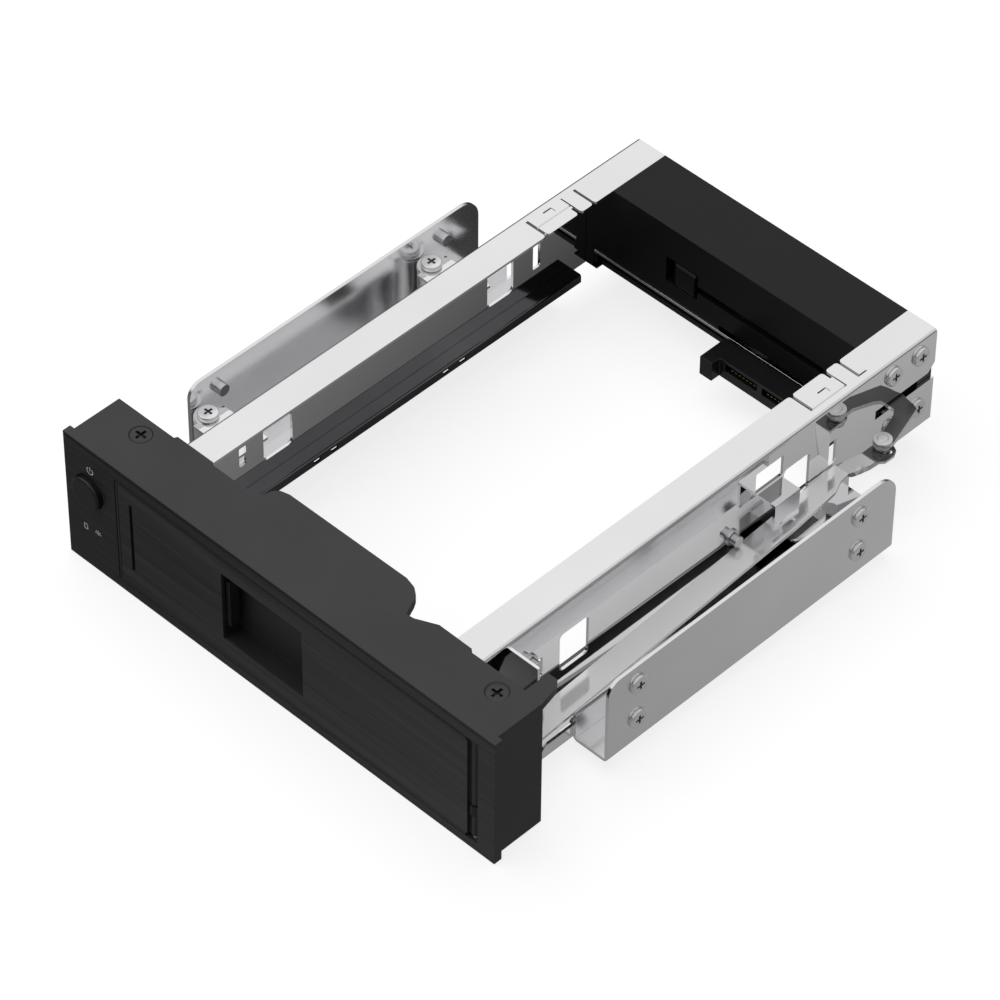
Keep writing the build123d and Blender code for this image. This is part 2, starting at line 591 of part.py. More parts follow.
def board_screws():
    """Two small screws that hold the front board to its bosses."""
    radius, height = BOARD_SCREW_HEAD
    length, width, depth = BOARD_SCREW_SLOT
    screws = []
    for x, z in BOSSES:
        back = BOARD_Y[1] + height
        screw = lengthwise(x, z, radius, (BOARD_Y[1], back))
        screw += lengthwise(x, z, BOARD_SCREW_RADIUS, (BOARD_Y[1] - BOARD_SCREW_LENGTH, BOARD_Y[1]))
        slot = block((x - length, x + length), (back - depth, back + 1), (z - width / 2, z + width / 2))
        screws.append(screw - slot)
    return screws


def bezel_screws():
    """Two countersunk screws through the roof of the bezel into the rails."""
    top = FACE_HEIGHT - FLAT_SUNK
    screws = []
    for x, y in BEZEL_SCREWS:
        screw = flat_head(x, y) - block((x - 5, x + 5), (y - 5, y + 5), (top, FACE_HEIGHT + 1))
        screws.append(screw - Pos(x, y, 0) * cross_recess(FLAT_RECESS, top))
    return screws


def rail_blank():
    """Folded sheet of the right hand rail before the openings that differ are cut."""
    top_in = RAIL_TOP - SHEET
    web = (WEB_INNER, WEB_OUTER)
    rail = block(web, (FLANGE_START, REAR_Y), (RAIL_BOTTOM, RAIL_TOP))
    rail += block((FLANGE_INNER, WEB_OUTER), (FLANGE_START, REAR_Y), (top_in, RAIL_TOP))
    bend = rail.edges().filter_by(Axis.Y).group_by(Axis.Z)[-1].sort_by(Axis.X)[-1]
    rail = fillet(bend, BEND_OUTER)
    rail += block(web, (RAIL_FRONT, FLANGE_START), (RAIL_BOTTOM, top_in))
    rail += block((WEB_INNER, TAB_OUTER), (RAIL_FRONT, TAB_END), (top_in, RAIL_TOP))
    shelf_bottom = SHELF_TOP - SHEET
    rail += block(web, SHELF_Y, (shelf_bottom, RAIL_BOTTOM))
    rail += block((WEB_OUTER, BRACKET_INNER - SHEET), SHELF_Y, (shelf_bottom, SHELF_TOP))
    lip = block((BRACKET_INNER - SHEET, BRACKET_INNER), SHELF_Y, (shelf_bottom, SHELF_LIP_TOP))
    lip_corners = lip.edges().filter_by(Axis.X).group_by(Axis.Z)[-1]
    rail += fillet(lip_corners, SHELF_LIP_ROUND)
    through = wider(web, 1)
    for window in WINDOWS:
        rail -= rounded_hole(*window, WINDOW_ROUND, through)
    for slot in SMALL_SLOTS:
        rail -= rounded_hole(*slot, SMALL_SLOT_ROUND, through)
    for y, z in REAR_SCREWS:
        rail -= crosswise(y, z, M3_SHANK, through)
    return rail


def cut_flange(rail, line_x, mark_x):
    """Slits and a pressed line around the leaves in the top flange, for the right hand rail."""
    z_span = wider((RAIL_TOP - SHEET, RAIL_TOP), 1)
    inside = FLANGE_INNER - 1
    for (low, high), end in ((LEAF_SLIT_Y, LEAF_SLIT_END), (LEAF_NOTCH_Y, LEAF_NOTCH_END),
                             (REAR_SLIT_Y, LEAF_SLIT_END)):
        rail -= block((inside, end), (low, high), z_span)
    corners = [edge for edge in rail.edges().filter_by(Axis.Z)
               if abs(edge.center().X - FLANGE_INNER) < 0.01
               and LEAF_SLIT_Y[0] - 1 < edge.center().Y < REAR_SLIT_Y[1] + 1]
    rail = fillet(corners, FLANGE_ROUND)
    rail -= block((LEAF_NOTCH_END, LEAF_SLIT_END), (LEAF_NOTCH_Y[1] - THIN_SLIT, LEAF_NOTCH_Y[1]), z_span)
    rail -= block((line_x, line_x + THIN_SLIT), (LEAF_SLIT_Y[1], LEAF_NOTCH_Y[1]),
                  (RAIL_TOP - LINE_DEPTH, RAIL_TOP + 1))
    rail -= block((mark_x, mark_x + THIN_SLIT), MARK_Y, z_span)
    return rail


def right_rail():
    """Right hand rail, with the fin and lugs beside the bar and the lever's slot."""
    flange_z = wider((RAIL_TOP - SHEET, RAIL_TOP), 1)
    through = wider((WEB_INNER, WEB_OUTER), 1)
    rail = cut_flange(rail_blank(), LEAF_SLIT_END - THIN_SLIT, RIGHT_MARK_X)
    rail -= block((RIGHT_MARK_X, RIGHT_MARK_X + MARK_LENGTH), (MARK_Y[1], MARK_Y[1] + THIN_SLIT / 2),
                  flange_z)
    rail -= block((LEAF_SLIT_END - THIN_SLIT, LEAF_SLIT_END), (REAR_SLIT_Y[0], REAR_SLIT_Y[0] + SLIT_BRANCH),
                  flange_z)
    back, rise = SIDE_SLOT_MOUTH
    slot = [(SIDE_SLOT_START, SIDE_SLOT_Z[0]), (REAR_Y + 1, SIDE_SLOT_Z[0]),
            (REAR_Y + 1, SIDE_SLOT_Z[1] + rise), (REAR_Y - back, SIDE_SLOT_Z[1]),
            (SIDE_SLOT_START, SIDE_SLOT_Z[1])]
    rail -= profile(slot, through)
    rail -= rounded_hole(*LUG_WINDOW, SMALL_SLOT_ROUND, through)
    rail += block((WEB_OUTER, WEB_LUG_OUTER), WEB_LUG_Y, (WEB_LUG_TOP - SHEET, WEB_LUG_TOP))
    rail += block((WEB_LUG_OUTER - SHEET, WEB_LUG_OUTER), WEB_LUG_Y, (WEB_LUG_BOTTOM, WEB_LUG_TOP))
    rail += block((WEB_OUTER, FIN_X), (FIN_Y, FIN_Y + SHEET), FIN_Z)
    rest_z = (REST_TOP - SHEET, REST_TOP)
    rest = block((WEB_OUTER, BRACKET_OUTER), (REST_Y - REST_HALF, REST_Y + REST_HALF), rest_z)
    rest_centre = BRACKET_INNER + SHEET - REST_RADIUS
    rail += rest & upright(rest_centre, REST_Y, REST_RADIUS, rest_z)
    for y, z in WEB_STUDS:
        rail -= crosswise(y, z, WEB_STUD[0], through)
    rail -= upright(*BEZEL_SCREWS[1], M3_SHANK, flange_z)
    return rail - crosswise(SHELF_STUD_Y, SHELF_STUD_Z, SHELF_STUD[0],
                            (BRACKET_INNER - SHEET - 1, BRACKET_INNER))


def left_rail():
    """Left hand rail, with the two lugs that sit on the bracket posts."""
    flange_z = wider((RAIL_TOP - SHEET, RAIL_TOP), 1)
    rail = cut_flange(rail_blank(), LEFT_LINE_X, LEFT_MARK_X)
    mark_end = LEFT_MARK_X + THIN_SLIT
    rail -= block((mark_end - MARK_LENGTH, mark_end), (MARK_Y[1], MARK_Y[1] + THIN_SLIT / 2), flange_z)
    for y in POSTS_Y:
        lug = block((WEB_OUTER, POST_X), (y - POST_LUG_HALF, y + POST_LUG_HALF), (POST_TOP, POST_TOP + SHEET))
        lug += upright(POST_X, y, POST_LUG_OUTER - POST_X, (POST_TOP, POST_TOP + SHEET))
        rail += lug - upright(POST_X, y, M3_SHANK, (POST_TOP - 1, POST_TOP + SHEET + 1))
    screw_x, screw_y = BEZEL_SCREWS[0]
    return mirrored(rail - upright(-screw_x, screw_y, M3_SHANK, flange_z))


def runner():
    """Right hand runner, a small channel welded to the web, that the drive slides on."""
    piece = block((RUNNER_INNER, WEB_INNER), RUNNER_Y, (RUNNER_TOP - SHEET, RUNNER_TOP))
    piece += block((RUNNER_INNER, RUNNER_INNER + SHEET), RUNNER_Y, (RUNNER_BOTTOM, RUNNER_TOP))
    piece += block((WEB_INNER - SHEET, WEB_INNER), RUNNER_Y, (RUNNER_BOTTOM, RUNNER_TOP))
    edges = piece.edges().filter_by(Axis.Y).group_by(Axis.Z)[-1].sort_by(Axis.X)
    piece = fillet(edges[0], SHEET)
    for y in RUNNER_SLOTS:
        piece -= block((RUNNER_INNER - 1, RUNNER_INNER + SHEET + 1), (y, y + RUNNER_SLOT),
                       (RUNNER_BOTTOM + RUNNER_SLOT_RISE, RUNNER_TOP - SHEET))
    return piece


def web_studs():
    """Studs set in the web of the right rail."""
    radius, length = WEB_STUD
    collar, thick = WEB_STUD_WASHER
    return [crosswise(y, z, radius, (WEB_INNER + WEB_STUD_INSET, WEB_OUTER + length))
            + crosswise(y, z, collar, (WEB_OUTER, WEB_OUTER + thick)) for y, z in WEB_STUDS]


def shelf_stud():
    """Small hollow stud set in the lip of the right rail's shelf."""
    radius, length = SHELF_STUD
    bore, depth = SHELF_STUD_BORE
    tip = BRACKET_INNER - SHEET - length
    stud = crosswise(SHELF_STUD_Y, SHELF_STUD_Z, radius, (tip, BRACKET_INNER))
    return stud - crosswise(SHELF_STUD_Y, SHELF_STUD_Z, bore, (tip, tip + depth))


def cover_shell():
    """Walls of the rear cover before its openings."""
    cover = block((-COVER_SIDE, COVER_SIDE), (COVER_FRONT, REAR_Y), (COVER_BOTTOM, RAIL_TOP - SHEET))
    cover += block((-FLANGE_INNER, FLANGE_INNER), (COVER_FRONT, REAR_Y), (COVER_TOP_INNER, RAIL_TOP))
    cavity_x = (-COVER_CAVITY, COVER_CAVITY)
    front_y = (COVER_FRONT - 1, COVER_FRONT + COVER_WALL + 1)
    cover -= block(cavity_x, (COVER_FRONT + COVER_WALL, REAR_Y - COVER_WALL),
                   (COVER_BOTTOM - 1, COVER_TOP_INNER))
    cover -= block(cavity_x, (COVER_FRONT - 1, REAR_Y + 1), (COVER_BOTTOM - 1, PLATE_TOP))
    return cover - block((COVER_STEP_X, COVER_CAVITY), front_y, (COVER_BOTTOM - 1, COVER_STEP_Z))


def rear_cover():
    """Black cover of the eject mechanism at the rear, which also carries both boards."""
    cover = cover_shell()
    front_y = (COVER_FRONT - 1, COVER_FRONT + COVER_WALL + 1)
    cover -= block(EJECT_WINDOW_X, front_y, EJECT_WINDOW_Z)
    cover -= block(LEVER_SLOT_X, front_y, LEVER_SLOT_Z)
    cover -= block(REAR_NOTCH_X, (REAR_Y - COVER_WALL - 1, REAR_Y + 1), (COVER_BOTTOM - 1, REAR_NOTCH_TOP))
    cover -= block((COVER_CAVITY - 1, COVER_SIDE + 1), (COVER_FRONT - 1, SIDE_PASS_END), SIDE_PASS_Z)
    cover -= block((-PLATE_EDGE, PLATE_EDGE), (COVER_FRONT - 1, REAR_Y - COVER_WALL), PLATE_Z)
    cover -= block((-CARD_HALF, CARD_HALF), (COVER_FRONT - 1, CARD_Y[1]), CARD_Z)
    boss_bottom = LEVER_Z[1] + PIVOT_PLAY
    cover += upright(PIVOT_X, PIVOT_Y, LEVER_HUB_RADIUS,
                     (boss_bottom, COVER_TOP_INNER + PIVOT_BOSS_OVERLAP))
    cover -= upright(PIVOT_X, PIVOT_Y, PIVOT_RADIUS, (boss_bottom - 1, PIVOT_TOP))
    cover += block(EJECTOR_X, (COVER_FRONT, EJECTOR_RAIL_END), (PLATE_TOP, EJECTOR_Z[0] - EJECTOR_PLAY))
    for sign in (1, -1):
        for y, z in REAR_SCREWS:
            span = sorted((sign * (COVER_SIDE + 1), sign * (WEB_OUTER - REAR_SCREW_LENGTH)))
            cover -= crosswise(y, z, M3_SHANK, span)
    return cover


def cross_plate():
    """Steel plate across the rear, held in grooves of the cover."""
    plate = block((-PLATE_EDGE, PLATE_EDGE), (COVER_FRONT - PLATE_PROUD, REAR_Y - COVER_WALL), PLATE_Z)
    plate -= block(REAR_NOTCH_X, (PLATE_NOTCH_Y, REAR_Y + 1), wider(PLATE_Z, 1))
    return plate - upright(PIVOT_X, PIVOT_Y, PIVOT_RADIUS, wider(PLATE_Z, 1))


def pivot_pin():
    """Shouldered pin that the eject lever turns on."""
    pin = upright(PIVOT_X, PIVOT_Y, PIVOT_RADIUS, (PLATE_Z[0], PIVOT_TOP))
    return pin + upright(PIVOT_X, PIVOT_Y, PIVOT_SHOULDER_RADIUS, (PLATE_TOP, LEVER_Z[0] - PIVOT_PLAY))


def lever_outline():
    """Corner points of the lever's two arms, front edge first."""
    tip_x, tip_y = LEVER_TIP
    return ([(tip_x, tip_y - LEVER_NECK)] + placed(LEVER_FRONT, tip_x, PIVOT_Y)
            + placed(LEVER_CROSSING, WEB_OUTER, PIVOT_Y) + placed(LEVER_HEAD, RIVET_X, RIVET_Y)
            + placed(LEVER_BACK, WEB_OUTER, PIVOT_Y) + placed(LEVER_REAR, tip_x, PIVOT_Y)
            + [(tip_x, tip_y + LEVER_NECK)])


def eject_lever():
    """Flat lever from the bar outside the cage to the ejector block inside it."""
    lever = plan(lever_outline(), LEVER_Z)
    lever += upright(PIVOT_X, PIVOT_Y, LEVER_HUB_RADIUS, LEVER_Z)
    lever += upright(*LEVER_TIP, LEVER_TIP_RADIUS, LEVER_Z)
    lever -= upright(PIVOT_X, PIVOT_Y, PIVOT_RADIUS + PIVOT_CLEARANCE, wider(LEVER_Z, 1))
    return lever - upright(RIVET_X, RIVET_Y, RIVET_SHANK_RADIUS, wider(LEVER_Z, 1))


def link_rivet():
    """Rivet in the end of the lever that rides in the slot of the bar."""
    radius, height = RIVET_HEAD
    button_radius, button_height = RIVET_BUTTON
    end_radius, end_height = RIVET_END_SIZE
    top = LEVER_Z[1] + height
    end_top = BAR_PAD_TOP - BAR_THICK - RIVET_GAP
    rivet = upright(RIVET_X, RIVET_Y, RIVET_SHANK_RADIUS, (end_top - end_height, top))
    rivet += upright(RIVET_X, RIVET_Y, radius, (LEVER_Z[1], top))
    rivet += upright(RIVET_X, RIVET_Y, button_radius, (top, top + button_height))
    rivet += upright(RIVET_X, RIVET_Y, RIVET_COLLAR_RADIUS, (BAR_PAD_TOP + RIVET_GAP, LEVER_Z[0]))
    return rivet + upright(RIVET_X, RIVET_Y, end_radius, (end_top - end_height, end_top))


def bar_left(y):
    """Left edge of the bar at a distance behind the face."""
    return BAR_LEFT_AT_ZERO + BAR_LEFT_SLOPE * y


def bar_top(y):
    """Height of the bar's top face at a distance behind the face."""
    return BAR_TOP_AT_ZERO + BAR_TOP_SLOPE * y


def link_bar():
    """Bar along the right rail, from the door cam to the eject lever."""
    low, high = BAR_JOGGLE_Y
    end = RIVET_Y + BAR_BLANK_REACH
    tops = [(BAR_FOOT_Y, bar_top(BAR_NECK_Y)), (BAR_NECK_Y, bar_top(BAR_NECK_Y)),
            (low, bar_top(low)), (high, BAR_PAD_TOP), (end, BAR_PAD_TOP)]
    unders = [(BAR_FOOT_Y, tops[0][1] - BAR_THICK), (BAR_NECK_Y, tops[1][1] - BAR_THICK),
              (low + BAR_JOGGLE_LAG, tops[2][1] - BAR_THICK),
              (high + BAR_JOGGLE_LAG, BAR_PAD_TOP - BAR_THICK),
              (end, BAR_PAD_TOP - BAR_THICK)]
    side = profile(tops + unders[::-1], (WEB_OUTER, HALF_BODY))
    neck = BAR_NECK_Y + BAR_NECK_LENGTH
    straight_end = RIVET_Y - BAR_STRAIGHT_REACH
    outline = [(bar_left(BAR_NECK_Y), BAR_NECK_Y - 3), (BAR_FOOT_X[0], BAR_NECK_Y - 5),
               (BAR_FOOT_X[0], BAR_FOOT_Y), (BAR_FOOT_X[1], BAR_FOOT_Y), (BAR_FOOT_X[1], BAR_FOOT_BACK),
               (bar_left(neck) + BAR_WIDTH, neck), (bar_left(straight_end) + BAR_WIDTH, straight_end)]
    outline += placed(BAR_TAPER, RIVET_X, RIVET_Y) + placed(BAR_PAD, RIVET_X, RIVET_Y)
    outline += [(bar_left(low), low)]
    bar = side & plan(outline, (0, FACE_HEIGHT))
    reach = RIVET_SHANK_RADIUS + RIVET_GAP
    pad_z = wider((BAR_PAD_TOP - BAR_THICK, BAR_PAD_TOP), 1)
    slot = block((RIVET_X, RIVET_X + RIVET_SLIDE), (RIVET_Y - reach, RIVET_Y + reach), pad_z)
    slot += upright(RIVET_X, RIVET_Y, reach, pad_z)
    slot += upright(RIVET_X + RIVET_SLIDE, RIVET_Y, reach, pad_z)
    return bar - slot


def ejector():
    """Block in the cover's window that pushes the drive off its connector."""
    left, right = EJECTOR_X
    front, rear = EJECTOR_Y
    body = plan([(left, front), (right, front), (right, rear),
                 (EJECTOR_WING_X, rear), (EJECTOR_WING_X, EJECTOR_WING_Y)], EJECTOR_Z)
    body = fillet(body.edges().filter_by(Axis.X).group_by(Axis.Y)[0], EJECTOR_ROUND)
    reach = LEVER_TIP_RADIUS + LEVER_TIP_CLEARANCE
    return body - block((LEVER_TIP[0] - reach, right + 1), (LEVER_TIP[1] - reach, LEVER_TIP[1] + reach),
                        wider(LEVER_Z, LEVER_TIP_CLEARANCE))


def rear_card():
    """Circuit board under the cross plate, with a tongue under the drive's connector."""
    card = block((-CARD_HALF, CARD_HALF), CARD_Y, CARD_Z)
    return card + block(SATA_X, (CARD_TONGUE_FRONT, CARD_Y[0]), CARD_Z)


def sata_connector():
    """Connector for the drive, with a data slot, a power slot and two guide horns."""
    low_x, high_x = SATA_X
    body = block(SATA_X, SATA_Y, (CARD_TOP, SATA_TOP))
    body += block(SATA_X, (SATA_Y[0], CARD_TONGUE_FRONT), (CARD_Z[0], SATA_TOP))
    horn_z = (CARD_Z[0], SATA_TOP)
    body += block((low_x, low_x + SATA_HORN_WIDTH), (SATA_HORN_Y, SATA_Y[0]), horn_z)
    body += block((high_x - SATA_HORN_WIDTH, high_x), (SATA_HORN_Y, SATA_Y[0]), horn_z)
    socket_y = (SATA_Y[0] - 1, SATA_Y[0] + SATA_SOCKET_DEPTH)
    body -= block(SATA_DATA_X, socket_y, SATA_SOCKET_Z)
    return body - block(SATA_POWER_X, socket_y, SATA_SOCKET_Z)


def rear_sockets():
    """Power and data sockets on the rear edge of the card."""
    sockets = []
    bottom = REAR_Y - SOCKET_DEPTH
    for span in (POWER_SOCKET_X, DATA_SOCKET_X):
        body = block(span, (SOCKET_FRONT, REAR_Y), (CARD_TOP, SOCKET_TOP))
        inside_x = wider(span, -SOCKET_WALL)
        inside_z = wider((CARD_TOP, SOCKET_TOP), -SOCKET_WALL)
        body -= block(inside_x, (bottom, REAR_Y + 1), inside_z)
        middle = (inside_z[0] + inside_z[1]) / 2
        body += block(wider(inside_x, -TONGUE_SIDE), (bottom, REAR_Y - TONGUE_SETBACK),
                      (middle - TONGUE_THICK / 2, middle + TONGUE_THICK / 2))
        sockets.append(body)
    return sockets


def bracket(rows):
    """Mounting bracket for the right, a channel of bent sheet with screws at the heights in rows."""
    low_z, high_z = BRACKET_Z
    piece = block((BRACKET_OUTER - BRACKET_SHEET, BRACKET_OUTER), BRACKET_Y, BRACKET_Z)
    for y, radius in zip(BRACKET_Y, BRACKET_CORNERS):
        corner = [edge for edge in piece.edges().filter_by(Axis.X)
                  if abs(edge.center().Y - y) < 0.01 and edge.center().Z > high_z - 0.01]
        piece = fillet(corner, radius)
    piece += block((BRACKET_INNER, BRACKET_OUTER), BRACKET_Y, (low_z, low_z + BRACKET_SHEET))
    piece += block((BRACKET_INNER, BRACKET_INNER + BRACKET_SHEET), BRACKET_Y,
                   (low_z, BRACKET_INNER_TOP))
    bends = piece.edges().filter_by(Axis.Y).group_by(Axis.Z)[0]
    piece = fillet(bends, BRACKET_BEND)
    for y in BAY_SCREWS_Y:
        for z in rows:
            piece -= crosswise(y, z, BAY_SHANK, (BRACKET_OUTER - BRACKET_SHEET - 1, BRACKET_OUTER + 1))
    return piece


def right_bracket():
    """Right bracket, with the raised seat that the rail's round lug rests on."""
    seat_y = (REST_Y - REST_SEAT_HALF, REST_Y + REST_SEAT_HALF)
    seat = block((BRACKET_INNER, BRACKET_INNER + BRACKET_SHEET), seat_y,
                 (BRACKET_INNER_TOP - 1, REST_TOP - SHEET))
    return bracket(BAY_SCREWS_Z) + seat


def left_posts():
    """Two round posts that stand on the floor of the left bracket."""
    floor = BRACKET_Z[0] + BRACKET_SHEET
    return [upright(-POST_X, y, POST_RADIUS, (floor, POST_TOP))
            - upright(-POST_X, y, M3_SHANK, (POST_TOP - POST_BORE, POST_TOP)) for y in POSTS_Y]


def post_screws():
    """Screws on top of the posts."""
    screw = pan_screw(SHEET + POST_BORE, head_size=TALL_PAN_HEAD)
    return [Pos(-POST_X, y, POST_TOP + SHEET) * screw for y in POSTS_Y]


def bay_screw(y, z):
    """Screw in the right bracket."""
    return Pos(BRACKET_OUTER, y, z) * Rot(0, 90, 0) * pan_screw(BAY_SCREW_LENGTH, BAY_SHANK)


def bay_screws():
    """Four screws in each bracket that fasten the cage in its bay."""
    screws = []
    for y in BAY_SCREWS_Y:
        screws += [bay_screw(y, z) for z in BAY_SCREWS_Z]
        screws += [mirrored(bay_screw(y, z)) for z in LEFT_SCREWS_Z]
    return screws


def rear_screws():
    """Four screws in each rail that hold the rear cover."""
    screws = []
    for y, z in REAR_SCREWS:
        screw = Pos(WEB_OUTER, y, z) * Rot(0, 90, 0) * pan_screw(REAR_SCREW_LENGTH)
        screws += [screw, mirrored(screw)]
    return screws


def save(name, piece):
    """Write one piece, or a group of equal ones, in the shared frame."""
    items = piece if isinstance(piece, list) else [piece]
    solids = [Pos(0, FRONT_Y, 0) * solid for item in items for solid in item.solids()]
    shape = solids[0] if len(solids) == 1 else Compound(children=solids)
    export_step(shape, "parts/" + name + ".step")


os.makedirs("parts", exist_ok=True)
save("bezel", bezel())
save("door_panel", door_panel())
save("door_skin", door_skin())
save("door_cam", door_cam())
save("hinge_pin", hinge_pin())
save("door_catch", door_catch())
save("power_button", power_button())
save("front_board", front_board())
save("power_switch", power_switch())
save("light_guides", light_guides())
save("board_screws", board_screws())
save("bezel_screws", bezel_screws())
save("right_rail", right_rail())
save("left_rail", left_rail())
save("right_runner", runner())
save("left_runner", mirrored(runner()))
save("web_studs", web_studs())
save("shelf_stud", shelf_stud())
save("rear_cover", rear_cover())
save("cross_plate", cross_plate())
save("pivot_pin", pivot_pin())
save("eject_lever", eject_lever())
save("link_rivet", link_rivet())
save("link_bar", link_bar())
save("ejector", ejector())
save("rear_card", rear_card())
save("sata_connector", sata_connector())
save("rear_sockets", rear_sockets())
save("right_bracket", right_bracket())
save("left_bracket", mirrored(bracket(LEFT_SCREWS_Z)))
save("left_posts", left_posts())
save("post_screws", post_screws())
save("bay_screws", bay_screws())
save("rear_screws", rear_screws())
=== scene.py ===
import math

import bmesh
import bpy
import numpy as np
from mathutils import Matrix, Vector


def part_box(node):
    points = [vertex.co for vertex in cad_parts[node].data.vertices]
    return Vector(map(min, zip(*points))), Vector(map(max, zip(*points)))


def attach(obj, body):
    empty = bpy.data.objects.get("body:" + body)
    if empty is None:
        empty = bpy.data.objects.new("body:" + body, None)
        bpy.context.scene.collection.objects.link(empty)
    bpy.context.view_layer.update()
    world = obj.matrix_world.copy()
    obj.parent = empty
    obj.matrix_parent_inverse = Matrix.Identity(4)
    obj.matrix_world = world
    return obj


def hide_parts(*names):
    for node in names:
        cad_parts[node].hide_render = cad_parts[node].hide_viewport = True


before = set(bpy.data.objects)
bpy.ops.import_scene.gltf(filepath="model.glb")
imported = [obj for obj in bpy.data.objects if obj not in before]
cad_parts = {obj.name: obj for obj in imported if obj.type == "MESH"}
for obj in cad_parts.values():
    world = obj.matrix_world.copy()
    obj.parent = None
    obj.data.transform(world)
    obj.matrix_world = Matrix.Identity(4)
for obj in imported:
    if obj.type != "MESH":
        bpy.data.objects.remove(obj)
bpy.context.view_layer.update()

# Bezel: the front moulding of the cage, black ABS that screws to the two rails through its roof.
# Its top is finely eroded and its front is scored along its width like the door. A painted shadow line
# runs below its top edge where the two finishes meet, and a painted shade line round the sink of each
# screw. Its right end is coloured darker as painted shade.
BEZEL_BLACK = (0.0286, 0.0286, 0.0306, 1.0)
BEZEL_WORN = (0.039, 0.039, 0.041, 1.0)
# Painted shade: the right end of the bezel is coloured darker than the rest.
BEZEL_SIDE_PAINTED_SHADE = (0.0070, 0.0068, 0.0072, 1.0)
# Painted shade: a dark line under the top edge and round the sink of each screw.
BEZEL_PAINTED_SHADE_LINE = (0.002, 0.002, 0.002, 1.0)
BEZEL_SHADE_LINE_DROP = 0.0009
BEZEL_SHADE_LINE_HALF = 0.00035
BEZEL_EDGE = 0.00025
BEZEL_GRAIN = 0.05
BEZEL_ROUGHNESS = (0.40, 0.52)
BEZEL_SHEEN = 0.42
CLOUD_SCALE = 38.0
GRAIN_SCALE = 2600.0
GRAIN_HEIGHT = 0.0001
SCORE_DARK = (0.014, 0.014, 0.015, 1.0)
SCORE_LIGHT = (0.034, 0.034, 0.036, 1.0)
SCORE_SCALE = 700.0
SCORE_STRETCH = (0.03, 1.0, 1.0)
SINK_SCREW_RADIUS = 0.00295
SINK_RADIUS = 0.00297
SINK_SHADE_LINE_HALF = 0.00018
FACING_SPAN = (0.75, 0.95)
MERGE_DISTANCE = 1e-6
FLAT_ANGLE = 0.6
EDGE_ANGLE = 34.0


def new_material(name):
    """Empty node material with one principled shader on its output."""
    material = bpy.data.materials.new(name)
    material.use_nodes = True
    tree = material.node_tree
    tree.nodes.clear()
    shader = tree.nodes.new("ShaderNodeBsdfPrincipled")
    output = tree.nodes.new("ShaderNodeOutputMaterial")
    tree.links.new(shader.outputs["BSDF"], output.inputs["Surface"])
    return material, tree, shader


def object_noise(tree, scale, stretch=(1.0, 1.0, 1.0), detail=4.0):
    """Noise over the object's own coordinates, drawn out along the axes where stretch is small."""
    place = tree.nodes.new("ShaderNodeTexCoord")
    mapping = tree.nodes.new("ShaderNodeMapping")
    mapping.inputs["Scale"].default_value = stretch
    noise = tree.nodes.new("ShaderNodeTexNoise")
    noise.inputs["Scale"].default_value = scale
    noise.inputs["Detail"].default_value = detail
    tree.links.new(place.outputs["Object"], mapping.inputs["Vector"])
    tree.links.new(mapping.outputs["Vector"], noise.inputs["Vector"])
    return noise.outputs["Fac"]


def ramp(tree, value, stops):
    """Colour ramp through the given positions and colours."""
    node = tree.nodes.new("ShaderNodeValToRGB")
    node.color_ramp.elements[0].position, node.color_ramp.elements[0].color = stops[0]
    node.color_ramp.elements[1].position, node.color_ramp.elements[1].color = stops[-1]
    for position, colour in stops[1:-1]:
        node.color_ramp.elements.new(position).color = colour
    tree.links.new(value, node.inputs["Fac"])
    return node.outputs["Color"]


def span_map(tree, value, low, high, start=0.0, end=1.0):
    """The value between start and end mapped to the numbers between low and high."""
    node = tree.nodes.new("ShaderNodeMapRange")
    node.inputs["From Min"].default_value = start
    node.inputs["From Max"].default_value = end
    node.inputs["To Min"].default_value = low
    node.inputs["To Max"].default_value = high
    tree.links.new(value, node.inputs["Value"])
    return node.outputs["Result"]


def bump(tree, shader, height, strength, distance):
    """Bump from a height, joined to the shader's normal."""
    node = tree.nodes.new("ShaderNodeBump")
    node.inputs["Strength"].default_value = strength
    node.inputs["Distance"].default_value = distance
    tree.links.new(height, node.inputs["Height"])
    tree.links.new(node.outputs["Normal"], shader.inputs["Normal"])


def mixed(tree, amount, first, second):
    """Colour that goes from the first to the second as the amount goes from 0 to 1."""
    node = tree.nodes.new("ShaderNodeMix")
    node.data_type = "RGBA"
    for socket, colour in ((node.inputs[6], first), (node.inputs[7], second)):
        if isinstance(colour, tuple):
            socket.default_value = colour
        else:
            tree.links.new(colour, socket)
    tree.links.new(amount, node.inputs[0])
    return node.outputs[2]


def along(tree, axis, kind="Object"):
    """One number of a place, of a normal or of a direction: its share along the axis."""
    place = tree.nodes.new("ShaderNodeTexCoord")
    split = tree.nodes.new("ShaderNodeSeparateXYZ")
    tree.links.new(place.outputs[kind], split.inputs["Vector"])
    return split.outputs[axis]


def facing(tree, axis, sign):
    """Near 1 where the surface faces along the axis with the sign, from its normal in the object."""
    start, end = FACING_SPAN
    return span_map(tree, along(tree, axis, "Normal"), 0.0, 1.0, start * sign, end * sign)


def near(tree, value, middle, half):
    """1 where the value lies within half of the middle, and 0 elsewhere."""
    band = tree.nodes.new("ShaderNodeMath")
    band.operation = "COMPARE"
    band.inputs[1].default_value = middle
    band.inputs[2].default_value = half
    tree.links.new(value, band.inputs[0])
    return band.outputs["Value"]


def moulded_plastic(name, colour, worn, roughness, grain, sheen=0.5):
    """Black moulding: fine grain in the bump, cloudy change in colour and roughness."""
    material, tree, shader = new_material(name)
    clouds = object_noise(tree, CLOUD_SCALE)
    tree.links.new(ramp(tree, clouds, [(0.35, colour), (0.75, worn)]), shader.inputs["Base Color"])
    tree.links.new(span_map(tree, clouds, roughness - 0.05, roughness + 0.06), shader.inputs["Roughness"])
    shader.inputs["Specular IOR Level"].default_value = sheen
    bump(tree, shader, object_noise(tree, GRAIN_SCALE, detail=2.0), grain, GRAIN_HEIGHT)
    return material


